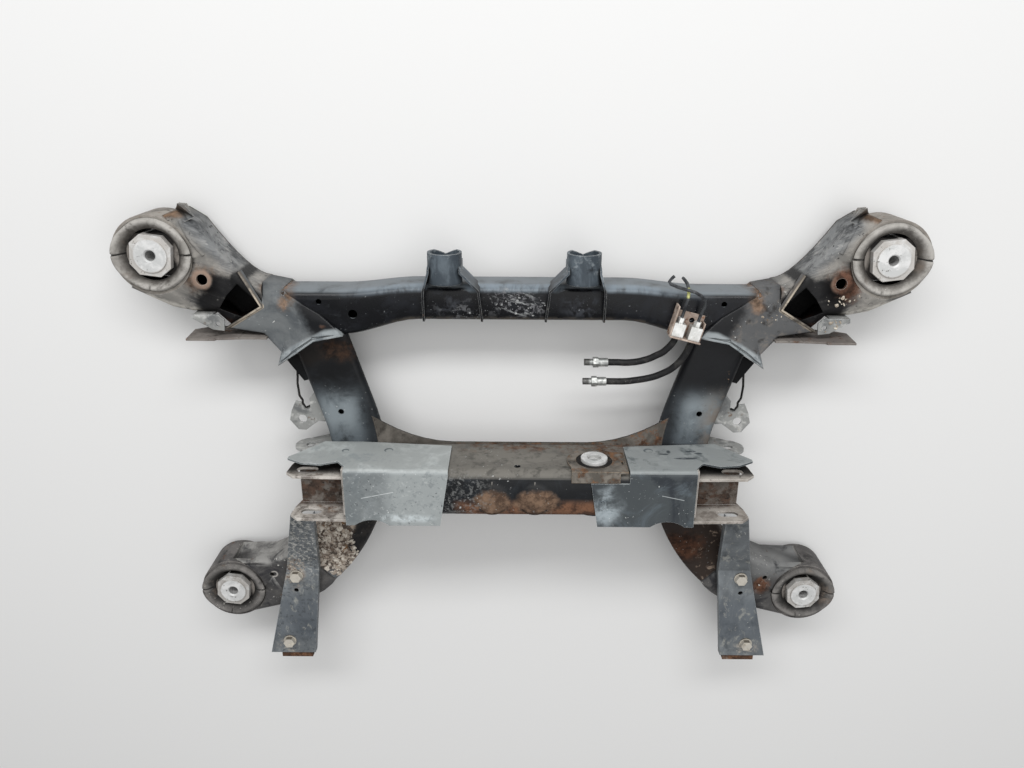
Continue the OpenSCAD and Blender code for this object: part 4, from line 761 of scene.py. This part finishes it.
def yellow_zinc():
    f = Finish("yellowed_zinc", "bdb8ae", 0.45, 0.2, round_edges=0.6)
    f.clouds("8d8477", 70.0, 0.52, 0.7, 0.55, 0.8)
    f.clouds("d0c9b8", 110.0, 0.55, 0.7, 0.4, 0.8, shift=3.0)
    # Painted shade in corners and under overhangs.
    f.lay("4a3d32", f.shade_in_corners(6.0), 0.85, 0.8)
    f.lay("e2dccb", f.edges(), 0.35, 0.6)
    # Painted shade: the bolt heads' side faces darkened.
    sides = [f.facing((0, way, 0), 0.4, 0.8) for way in (1, -1)]
    f.lay("4d463c", f.calc("MAXIMUM", *sides), 0.7, 0.85)
    f.grain(260.0, 5.0, 0.66, 0.2)
    return f.done()


def bright_zinc():
    f = Finish("bright_zinc", "cfcfcc", 0.36, 0.6, round_edges=0.6)
    f.clouds("ececea", 60.0, 0.42, 0.6, 0.4, 0.8)
    f.clouds("7d6f61", 80.0, 0.6, 0.7, 0.6, 0.8, shift=5.0)
    # Painted shade in corners and under overhangs.
    f.lay("332b25", f.shade_in_corners(7.0), 0.85, 0.85)
    f.grain(240.0, 5.0, 0.6, 0.15)
    return f.done()


def fitting_zinc():
    f = Finish("dull_fitting", "8f918f", 0.4, 0.6, round_edges=0.5)
    f.clouds("c9cac7", 90.0, 0.48, 0.64, 0.4, 0.9)
    f.clouds("4e4d4a", 90.0, 0.54, 0.68, 0.55, 0.9, shift=4.0)
    f.lay("2b2826", f.times(f.along(0, 104, 100), f.along(0, 90, 92)), 0.6, 0.7)
    # Painted shade in corners and under overhangs.
    f.lay("2b2826", f.shade_in_corners(5.0), 0.85, 0.8)
    return f.done()


def bracket_pink():
    f = Finish("rusty_hose_bracket", "96857a", 0.7, round_edges=0.6)
    f.clouds("c4b5a8", 60.0, 0.42, 0.62, 0.75, 0.9)
    f.rust(f.broken(70.0, 0.52, 0.64, 8.0, 0.72, 3.0), "4a3326", "86644e", "b09582")
    f.lay("dccfc3", f.edges(), 0.6, 0.7)
    # Painted shade in corners and under overhangs.
    f.lay("2c211b", f.shade_in_corners(8.0), 0.9, 0.8)
    f.grain(220.0, 7.0, 0.7, 0.35)
    return f.done()


def pipe_grey():
    f = Finish("coated_brake_pipe", "4a4c4e", 0.45, 0.2, round_edges=0.4)
    f.clouds("26282b", 90.0, 0.45, 0.62, 0.5, 0.9)
    f.clouds("8c8f90", 140.0, 0.58, 0.72, 0.5, 0.7, shift=3.0)
    f.lay("cfd08a", f.spot((236, 262, 101), (8, 9, 8), 0.4, 0.7, scale=160.0), 0.6, 0.85)
    return f.done()


def wire_black():
    f = Finish("black_wire", "151515", 0.5, round_edges=0.3)
    f.clouds("3a3734", 120.0, 0.5, 0.65, 0.7, 0.8)
    return f.done()


def hose_rubber():
    f = Finish("brake_hose_rubber", "1b1b1c", 0.55, round_edges=0.4)
    f.clouds("3a3937", 70.0, 0.48, 0.66, 0.7, 0.7)
    f.flecks("6a6763", 1.2, 0.5, shift=2.0)
    f.grain(500.0, 3.0, 0.6, 0.15)
    return f.done()


def dress():
    """Gives every solid its finish, then adds the pieces that share those finishes."""
    saddle, tab, rubber, alu = saddle_slate(), tab_zinc(), bush_rubber(), bare_aluminium()
    arm, rusty = arm_weathered(), rusty_steel()
    front_flange = bush_flange("front_bush_flange", "8b8883", "aeaba6", "45413d", FRONT_BUSH, 53)
    rear_flange = bush_flange("rear_bush_flange", "585654", "7c7976", "2a2928", REAR_BUSH, 47)
    by_end = {
        "_arm_back": arm_back_dark(),
        "_rear_arm": rear_arm_brown(),
        "_arm": arm,
        "_collar": collar_grey(),
        "_side_member": member_dusty(),
        "_bracket_plate": galvanised(),
        "_clevis": clevis_dusty(),
        "_strut": strut_slate(),
        "_shelf_plate": shelf_brown(),
        "_arm_tab": tab,
        "_cable_tab": tab,
        "_link_ear": tab,
        "_wire_clip": wire_black(),
        "_saddle": saddle,
        "_diff_sleeve": saddle,
        "_bush_sleeve": rear_flange,
        "_bush_rubber": rubber,
        "_bush_core": alu,
    }
    by_name = {
        "cross_tube": tube_black(),
        "front_eyes": eye_ring("front_eye_ring", "7a756f", "98938c", "474441"),
        "rear_eyes": eye_ring("rear_eye_ring", "4c4a49", "6a6765", "2b2a2a"),
        "front_left_bush_sleeve": front_flange,
        "front_right_bush_sleeve": front_flange,
        "crossmember": crossmember_film(),
        "crossmember_back": back_plate_brown(),
        "strut_feet": rusty,
        "strut_spacers": rusty,
        "strut_nuts": rusty,
        "strut_bolts": yellow_zinc(),
        "diff_plate": ear_plate_brown(),
        "diff_ring": mount_rubber(),
        "diff_core": alu,
        "hose_bracket": bracket_pink(),
        "hose_ends": bright_zinc(),
        "hose_fittings": fitting_zinc(),
        "brake_pipes": pipe_grey(),
    }
    for name, part in nodes.items():
        finish = by_name.get(name)
        if finish is None:
            ends = [e for e in by_end if name.endswith(e)]
            finish = by_end[max(ends, key=len)] if ends else rubber
        part.data.materials.clear()
        part.data.materials.append(finish)
    set_bush_collars(front_flange, rear_flange)
    soften_forms()
    add_details(arm)


# Brake hoses, on the same routes as their solids

HOSE_R = 5
UPPER_ROUTE = [
    (223, 198, 98), (221, 190, 98), (217, 183, 97), (212, 177, 96), (206, 171, 95),
    (198, 166, 93), (190, 161, 91), (181, 157, 89), (172, 154, 87), (162, 152, 85),
    (153, 151, 83), (145, 151, 82), (137, 151, 82), (129, 151, 82),
]
LOWER_ROUTE = [
    (247, 192, 98), (245, 184, 98), (242, 175, 97), (238, 166, 96), (233, 158, 95),
    (227, 150, 93), (220, 143, 91), (211, 137, 89), (202, 132, 87), (192, 128, 85),
    (182, 125, 83), (172, 123, 82), (161, 121, 81), (150, 120, 80), (139, 120, 80),
    (128, 120, 80),
]


def smooth_route(route, steps=4):
    """Points on a smooth line through the route's own points."""
    points = [mm(*p) for p in route]
    line = []
    for i in range(len(points) - 1):
        a, b, c, d = points[max(i - 1, 0)], points[i], points[i + 1], points[min(i + 2, len(points) - 1)]
        for k in range(steps):
            t = k / steps
            bow = (2 * a - 5 * b + 4 * c - d) * t * t
            sway = (3 * b - a - 3 * c + d) * t**3
            line.append(0.5 * (2 * b + (c - a) * t + bow + sway))
    return line + [points[-1]]


def lay_hose(name, route, rubber):
    line = smooth_route(route)
    curve = bpy.data.curves.new(name, "CURVE")
    curve.dimensions = "3D"
    curve.bevel_depth = HOSE_R * MM
    curve.bevel_resolution = 5
    spline = curve.splines.new("POLY")
    spline.points.add(len(line) - 1)
    for point, place in zip(spline.points, line):
        point.co = (*place, 1)
    spline.use_smooth = True
    curve.materials.append(rubber)
    hose = put(name, curve)
    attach(hose, "root")
    length = sum((b - a).length for a, b in zip(line, line[1:]))
    return hose, line[0], length


def lay_hoses():
    rubber = hose_rubber()
    for name, node, route in (
        ("upper_brake_hose", "upper_hose", UPPER_ROUTE),
        ("lower_brake_hose", "lower_hose", LOWER_ROUTE),
    ):
        hose, start, length = lay_hose(name, route, rubber)
        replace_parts(hose, node)


# Small pieces on the solids


def add_piece(name, mesh, finish=None):
    if finish is not None:
        mesh.materials.append(finish)
    piece = put(name, mesh)
    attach(piece, "root")
    return piece


def shade(mesh, sharp):
    """Smooth shading, with an edge kept sharp from the given angle on."""
    mesh.polygons.foreach_set("use_smooth", [True] * len(mesh.polygons))
    mesh.set_sharp_from_angle(angle=math.radians(sharp))


def smooth_mesh(name, corners, faces, sharp=50):
    """A closed mesh with its faces turned outwards and its soft edges shaded smooth."""
    mesh = bpy.data.meshes.new(name)
    mesh.from_pydata(corners, [], faces)
    work = bmesh.new()
    work.from_mesh(mesh)
    bmesh.ops.recalc_face_normals(work, faces=work.faces)
    work.to_mesh(mesh)
    work.free()
    shade(mesh, sharp)
    return mesh


EYE_WALL = 4
SLEEVE_WALL = 3
FLANGE_IN = 17
FLANGE_OVAL, FLANGE_LOBE = 0.83, 0.05
EYE_LOW, EYE_TOP, FLANGE_TOP = 12, 78, 84
SPLITS = (0, 180, 260)
SPLIT_HALF, SPLIT_DEEP = 2.2, 5
ROUND_STEPS, CROWN_STEPS = 240, 12


def bush_collar(node, centre, eye_r, finish):
    """The moulded collar of a bush: a sleeve in the eye and a crowned oval flange with three splits."""
    body = eye_r - EYE_WALL
    mouth = eye_r - FLANGE_IN
    corners, faces = [], []
    for i in range(ROUND_STEPS):
        turn = 2 * math.pi * i / ROUND_STEPS
        flat = 1 / math.hypot(math.cos(turn), math.sin(turn) / FLANGE_OVAL)
        rim = max(eye_r * flat, body - 2)
        gap = min(abs((math.degrees(turn) - a + 180) % 360 - 180) for a in SPLITS)
        open_split = max(0.0, 1 - gap / SPLIT_HALF)
        lobe = 1 + FLANGE_LOBE * math.cos(2 * turn)
        ring = [(body, EYE_LOW), (body, EYE_TOP - 1)]
        # The crown rises fast from the rim and falls slowly to the mouth
        for k in range(CROWN_STEPS + 1):
            t = k / CROWN_STEPS
            reach = rim + (mouth - rim) * t
            lift = math.sin(math.pi * (0.1 + 0.9 * t) ** 0.62) ** 0.7 if t < 1 else 0.0
            height = EYE_TOP - 1 + (FLANGE_TOP - EYE_TOP + 1.5) * lift * lobe
            ring.append((reach, height - SPLIT_DEEP * open_split * lift))
        bore = body - SLEEVE_WALL
        ring += [(mouth - 3, EYE_TOP - 4), (bore, EYE_TOP - 12), (bore, EYE_LOW)]
        for r, z in ring:
            corners.append(mm(centre[0] + r * math.cos(turn), centre[1] + r * math.sin(turn), z))
    across = len(corners) // ROUND_STEPS
    for i in range(ROUND_STEPS):
        here, after = i * across, ((i + 1) % ROUND_STEPS) * across
        for j in range(across):
            k = (j + 1) % across
            faces.append((here + j, here + k, after + k, after + j))
    mesh = smooth_mesh(node, corners, faces)
    piece = add_piece(node.replace("sleeve", "collar"), mesh, finish)
    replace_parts(piece, node)


def set_bush_collars(front_finish, rear_finish):
    for side, sign in SIDES.items():
        for end, (x, y), eye_r, finish in (
            ("front", FRONT_BUSH, FRONT_EYE_R, front_finish),
            ("rear", REAR_BUSH, REAR_EYE_R, rear_finish),
        ):
            bush_collar("%s_%s_bush_sleeve" % (end, side), (sign * x, y), eye_r, finish)


# Endings of the formed pieces' names, and the angle from which an edge of theirs stays sharp
FORMED = {"cross_tube": 35, "_collar": 50, "_arm": 40, "_side_member": 35, "crossmember": 35}
JOIN = 0.01


def soften_forms():
    """Pressed and bent pieces get joined corners and soft shading, with only the true edges sharp."""
    for name, part in list(nodes.items()):
        sharp = [angle for end, angle in FORMED.items() if name.endswith(end)]
        if not sharp:
            continue
        work = bmesh.new()
        work.from_mesh(part.data)
        bmesh.ops.remove_doubles(work, verts=work.verts, dist=JOIN * MM)
        mesh = bpy.data.meshes.new(name + "_form")
        work.to_mesh(mesh)
        work.free()
        shade(mesh, sharp[0])
        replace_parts(add_piece(name + "_form", mesh, part.data.materials[0]), name)


SEARCH_HIGH = 220
PATCH_PITCH, PATCH_STEP = 2.5, 5
LINE_PITCH = 4


def search_tree(names):
    """The given solids, ready to be found from above."""
    corners, faces = [], []
    for name in names:
        start = len(corners)
        corners += [v.co.copy() for v in nodes[name].data.vertices]
        faces += [[start + i for i in face.vertices] for face in nodes[name].data.polygons]
    return BVHTree.FromPolygons(corners, faces)


def drop(tree, x, y):
    """The first surface under a point seen from above."""
    return tree.ray_cast(mm(x, y, SEARCH_HIGH), Vector((0, 0, -1)))[0]


def laid_patch(tree, centre, half, turn):
    """A sheet of small faces that lies on a surface, inside an oval."""
    wide, long = (max(2, round(2 * h / PATCH_PITCH)) for h in half)
    cos, sin = math.cos(math.radians(turn)), math.sin(math.radians(turn))
    places = {}
    for i in range(wide + 1):
        for j in range(long + 1):
            u, v = 2 * i / wide - 1, 2 * j / long - 1
            if u * u + v * v > 1:
                continue
            x, y = u * half[0], v * half[1]
            found = drop(tree, centre[0] + x * cos - y * sin, centre[1] + x * sin + y * cos)
            if found is not None:
                places[i, j] = found
    order = {key: n for n, key in enumerate(places)}
    faces = []
    for i, j in places:
        cell = [(i, j), (i + 1, j), (i + 1, j + 1), (i, j + 1)]
        heights = [places[c].z for c in cell if c in places]
        if len(heights) == 4 and max(heights) - min(heights) < PATCH_STEP * MM:
            faces.append([order[c] for c in cell])
    mesh = bpy.data.meshes.new("patch")
    mesh.from_pydata(list(places.values()), [], faces)
    return mesh


class Recipe:
    """A node tree for pieces that repeat, with named inputs."""

    def __init__(self, name, sizes):
        self.tree = bpy.data.node_groups.new(name, "GeometryNodeTree")
        self.keys = {}
        for title, kind in [("Base", "Geometry"), ("Finish", "Material")] + sizes:
            socket = self.tree.interface.new_socket(title, in_out="INPUT", socket_type="NodeSocket" + kind)
            self.keys[title] = socket.identifier
        self.tree.interface.new_socket("Result", in_out="OUTPUT", socket_type="NodeSocketGeometry")
        self.given = self.tree.nodes.new("NodeGroupInput").outputs

    def node(self, kind, links=None, **settings):
        return add_node(self.tree, kind, links, **settings)

    def close(self, made):
        whole = self.node("GeometryNodeRealizeInstances", {0: made})
        dressed = self.node("GeometryNodeSetMaterial", {"Geometry": whole, "Material": self.given["Finish"]})
        self.node("NodeGroupOutput", {0: dressed})

    def cook(self, name, base, slot, **values):
        """Runs the tree on a base mesh and keeps the result as a plain mesh."""
        holder = put(name, base)
        modifier = holder.modifiers.new("recipe", "NODES")
        modifier.node_group = self.tree
        for title, value in values.items():
            modifier[self.keys[title]] = value
        graph = bpy.context.evaluated_depsgraph_get()
        made = bpy.data.meshes.new_from_object(holder.evaluated_get(graph), depsgraph=graph)
        bpy.data.objects.remove(holder)
        return add_piece(name, made)


FLAKE_SEED, STRETCH_SEED, SPIN_SEED = 7, 5, 9
FLAKE_TILT = 0.35


def flake_recipe():
    """Ragged flakes scattered on a patch, each turned its own way."""
    sizes = [(title, "Float") for title in ("Density", "Smallest", "Largest", "Thickness")]
    r = Recipe("scattered_flakes", sizes + [("Seed", "Int")])
    g = r.given
    spread = {"Mesh": g["Base"], "Density": g["Density"], "Seed": g["Seed"]}
    points = r.node("GeometryNodeDistributePointsOnFaces", spread)
    size = r.node("FunctionNodeRandomValue", {2: g["Smallest"], 3: g["Largest"], "Seed": g["Seed"]})
    stretch = r.node(
        "FunctionNodeRandomValue",
        {0: (0.5, 0.4, 0.7), 1: (1.5, 1.0, 1.6), "Seed": STRETCH_SEED},
        data_type="FLOAT_VECTOR",
    )
    flat = r.node("ShaderNodeCombineXYZ", {0: 1.0, 1: 1.0, 2: g["Thickness"]})
    shape = r.node("ShaderNodeVectorMath", {0: stretch, 1: flat}, operation="MULTIPLY")
    scale = r.node("ShaderNodeVectorMath", {0: shape, "Scale": size.outputs[1]}, operation="SCALE")
    spin = r.node(
        "FunctionNodeRandomValue",
        {0: (-FLAKE_TILT, -FLAKE_TILT, 0.0), 1: (FLAKE_TILT, FLAKE_TILT, 6.28), "Seed": SPIN_SEED},
        data_type="FLOAT_VECTOR",
    )
    spun = r.node("FunctionNodeEulerToRotation", {0: spin})
    turns = {0: points.outputs["Rotation"], 1: spun}
    turned = r.node("FunctionNodeRotateRotation", turns, rotation_space="LOCAL")
    flake = r.node("GeometryNodeMeshIcoSphere", {"Radius": 1.0, "Subdivisions": 1})
    seats = {"Points": points, "Instance": flake, "Rotation": turned, "Scale": scale}
    placed = r.node("GeometryNodeInstanceOnPoints", seats)
    whole = r.node("GeometryNodeRealizeInstances", {0: placed})
    field = r.node("ShaderNodeTexNoise", {"Scale": 260.0, "Detail": 1.0})
    middle = (0.5, 0.5, 0.5)
    centred = r.node("ShaderNodeVectorMath", {0: field.outputs["Color"], 1: middle}, operation="SUBTRACT")
    push = r.node("ShaderNodeVectorMath", {0: centred, "Scale": g["Smallest"]}, operation="SCALE")
    r.close(r.node("GeometryNodeSetPosition", {"Geometry": whole, "Offset": push}))
    return r


def rib_recipe():
    """A round bead along a path, with a ripple in its width."""
    r = Recipe("bead_on_path", [("Radius", "Float"), ("Ripple", "Float"), ("Pitch", "Float")])
    g = r.given
    path = r.node("GeometryNodeMeshToCurve", {"Mesh": g["Base"]})
    fine = r.node("ShaderNodeMath", {0: g["Pitch"], 1: 0.25}, operation="MULTIPLY")
    even = r.node("GeometryNodeResampleCurve", {"Curve": path, "Length": fine}, mode="LENGTH")
    run = r.node("GeometryNodeSplineParameter")
    count = r.node("ShaderNodeMath", {0: run.outputs["Length"], 1: g["Pitch"]}, operation="DIVIDE")
    angle = r.node("ShaderNodeMath", {0: count, 1: 2 * math.pi}, operation="MULTIPLY")
    wave = r.node("ShaderNodeMath", {0: angle}, operation="SINE")
    swell = r.node("ShaderNodeMath", {0: wave, 1: g["Ripple"], 2: 1.0}, operation="MULTIPLY_ADD")
    section = r.node("GeometryNodeCurvePrimitiveCircle", {"Resolution": 10, "Radius": g["Radius"]})
    sweep = {"Curve": even, "Profile Curve": section, "Scale": swell, "Fill Caps": True}
    bead = r.node("GeometryNodeCurveToMesh", sweep)
    r.close(r.node("GeometryNodeSetShadeSmooth", {"Geometry": bead}))
    return r


def surface_lines(tree, lines, sink):
    """Paths of edges that follow a surface, each sunk a little into it."""
    corners, edges = [], []
    for line in lines:
        last = None
        for (x0, y0), (x1, y1) in zip(line, line[1:]):
            steps = max(1, round(math.hypot(x1 - x0, y1 - y0) / LINE_PITCH))
            for k in range(steps + 1):
                found = drop(tree, x0 + (x1 - x0) * k / steps, y0 + (y1 - y0) * k / steps)
                if found is None or (last is not None and k == 0):
                    continue
                corners.append(found - mm(0, 0, sink))
                if last is not None:
                    edges.append((last, len(corners) - 1))
                last = len(corners) - 1
    mesh = bpy.data.meshes.new("lines")
    mesh.from_pydata(corners, edges, [])
    return mesh


def dried_mud(name, pale, mid, dark):
    f = Finish(name, mid, 0.9, round_edges=0.2)
    f.clouds(pale, 120.0, 0.44, 0.6, 0.9)
    f.clouds(dark, 80.0, 0.5, 0.62, 0.9, 0.9, shift=3.0)
    f.grain(700.0, 4.0, 0.7, 0.2)
    return f.done()


ARM_RIBS = {
    "left": [
        [(-496, 358), (-484, 332), (-472, 308)],
        [(-480, 355), (-467, 326), (-452, 306)],
        [(-464, 352), (-445, 329), (-420, 305)],
    ],
    "right": [
        [(474, 362), (459, 332), (452, 314)],
        [(456, 352), (437, 327), (420, 308)],
    ],
}
RIB = dict(Radius=0.0034, Ripple=0.08, Pitch=0.011)
RIB_SINK = 1.6

LUG_PLATE = [(531, 351), (496, 365), (483, 377), (473, 376), (461, 358), (476, 351)]
LUG_HIGH, LUG_THICK, LUG_SHARP = 68, 2.5, 25


def lug_plate(side, finish):
    """The bent plate on an arm's ridge, seated where it meets the arm."""
    tree = search_tree([side + "_arm", "front_eyes"])
    top = []
    for x, y in LUG_PLATE:
        found = drop(tree, SIDES[side] * x, y)
        top.append(mm(SIDES[side] * x, y, LUG_HIGH) if found is None else found + mm(0, 0, 1))
    count = len(top)
    corners = top + [place - mm(0, 0, LUG_THICK) for place in top]
    faces = [(0, 1, 5), (1, 4, 5), (1, 2, 4), (2, 3, 4)]
    faces += [[i + count for i in reversed(face)] for face in faces]
    faces += [(i, i + count, (i + 1) % count + count, (i + 1) % count) for i in range(count)]
    name = side + "_lug_plate"
    add_piece(name, smooth_mesh(name, corners, faces, LUG_SHARP), finish)


# Where a shelf plate's root meets the collar, how far it laps the plate, and how far it is set back from
# the plate's front
SHELF_SEAT, SHELF_LAP, SHELF_SET = 369, 2, 8


def shelf_root(side, finish):
    """The inner end of a shelf plate, which reaches the collar's wall."""
    places = [v.co for v in nodes[side + "_shelf_plate"].data.vertices]
    inner = min(abs(p.x) for p in places) / MM + SHELF_LAP
    low, high = (limit(p.y for p in places) / MM for limit in (min, max))
    back, front = min(p.z for p in places) / MM, max(p.z for p in places) / MM - SHELF_SET
    ends = [(inner, low), (inner, high), (SHELF_SEAT, high), (SHELF_SEAT, low)]
    corners = [mm(SIDES[side] * x, y, z) for z in (back, front) for x, y in ends]
    faces = [(0, 1, 2, 3), (4, 5, 6, 7)] + [(i, (i + 1) % 4, (i + 1) % 4 + 4, i + 4) for i in range(4)]
    name = side + "_shelf_root"
    add_piece(name, smooth_mesh(name, corners, faces), finish)


# Crusts: name, solids below, centre, half widths, turn, finish, flakes on a square metre, smallest and
# largest flake, and thickness as a share of the width
LEFT_REAR = ("left_side_member", "left_rear_arm")
CRUSTS = [
    ("left_member_crust", LEFT_REAR, (-304, -170), (42, 58), 15, "mud", 70000, (1.2, 4.6), 0.45),
    ("left_strut_crust", ("left_strut",), (-362, -196), (18, 30), 0, "mud", 50000, (0.7, 2.0), 0.35),
    ("right_arm_mud", ("right_arm",), (466, 247), (28, 9), 12, "straw", 32000, (0.8, 3.4), 0.3),
    ("right_tab_mud", ("right_arm_tab",), (447, 211), (18, 9), 25, "straw", 40000, (0.8, 3.0), 0.35),
    ("right_collar_flakes", ("right_collar",), (366, 230), (30, 12), 35, "straw", 16000, (0.7, 2.4), 0.25),
    ("tube_flakes", ("cross_tube",), (-4, 240), (44, 19), -10, "grey", 17000, (0.7, 3.0), 0.12),
    ("tube_left_flakes", ("cross_tube",), (-60, 224), (26, 11), 0, "grey", 26000, (0.6, 1.6), 0.2),
]


def add_details(arm_finish):
    """Lug plates, shelf roots, pressed beads and crusts."""
    ribs, flakes = rib_recipe(), flake_recipe()
    for side in SIDES:
        lug_plate(side, arm_finish)
        shelf_root(side, nodes[side + "_shelf_plate"].data.materials[0])
    for side, lines in ARM_RIBS.items():
        paths = surface_lines(search_tree([side + "_arm"]), lines, RIB_SINK)
        ribs.cook(side + "_arm_ribs", paths, "weathered_paint", Finish=arm_finish, **RIB)
    dirt = {
        "grey": dried_mud("flaked_paint", "a9aaa9", "6f7071", "3a3b3e"),
        "mud": dried_mud("dried_mud", "c9c2b7", "988e83", "54443a"),
        "straw": dried_mud("pale_mud", "c9c2b5", "968b7d", "5d4d40"),
    }
    for name, below, centre, half, turn, finish, density, sizes, thickness in CRUSTS:
        flakes.cook(
            name,
            laid_patch(search_tree(below), centre, half, turn),
            "weathered_paint",
            Finish=dirt[finish],
            Density=float(density),
            Smallest=sizes[0] * MM,
            Largest=sizes[1] * MM,
            Thickness=thickness,
            Seed=FLAKE_SEED,
        )


# Studio


def area_lamp(name, place, aim, size, power):
    data = bpy.data.lights.new(name, "AREA")
    data.shape = "RECTANGLE"
    data.size, data.size_y = size
    data.energy = power
    lamp = put(name, data)
    lamp.location = place
    lamp.rotation_euler = (Vector(aim) - Vector(place)).to_track_quat("-Z", "Y").to_euler()


ROOM_LIGHT = 0.42
FLOOR_HALF, FLOOR_GAP = 6, 0.0005
FLOOR_TONE = (0.72, 0.72, 0.715, 1.0)


def set_studio():
    scene = bpy.context.scene
    scene.view_settings.view_transform = "Standard"
    world = bpy.data.worlds.new("soft_room")
    world.use_nodes = True
    sky = world.node_tree.nodes["Background"]
    sky.inputs["Color"].default_value = (1.0, 1.0, 1.0, 1.0)
    sky.inputs["Strength"].default_value = ROOM_LIGHT
    scene.world = world
    area_lamp("ceiling_strip", (-0.2, 2.6, 2.2), (0, 0.1, 0.1), (3.8, 0.7), 88)
    area_lamp("room_fill", (0.4, 0.6, 2.6), (0, 0.0, 0.0), (3.0, 2.4), 29)

    mesh = bpy.data.meshes.new("pale_floor")
    low = solid_box[0].z - FLOOR_GAP
    reach = FLOOR_HALF
    corners = [(-reach, -reach, low), (reach, -reach, low), (reach, reach, low), (-reach, reach, low)]
    mesh.from_pydata(corners, [], [(0, 1, 2, 3)])
    floor = put("pale_floor", mesh)
    material = bpy.data.materials.new("pale_floor")
    material.use_nodes = True
    shader = material.node_tree.nodes["Principled BSDF"]
    shader.inputs["Base Color"].default_value = FLOOR_TONE
    shader.inputs["Roughness"].default_value = 0.9
    mesh.materials.append(material)


set_camera()
lay_hoses()
dress()
set_studio()
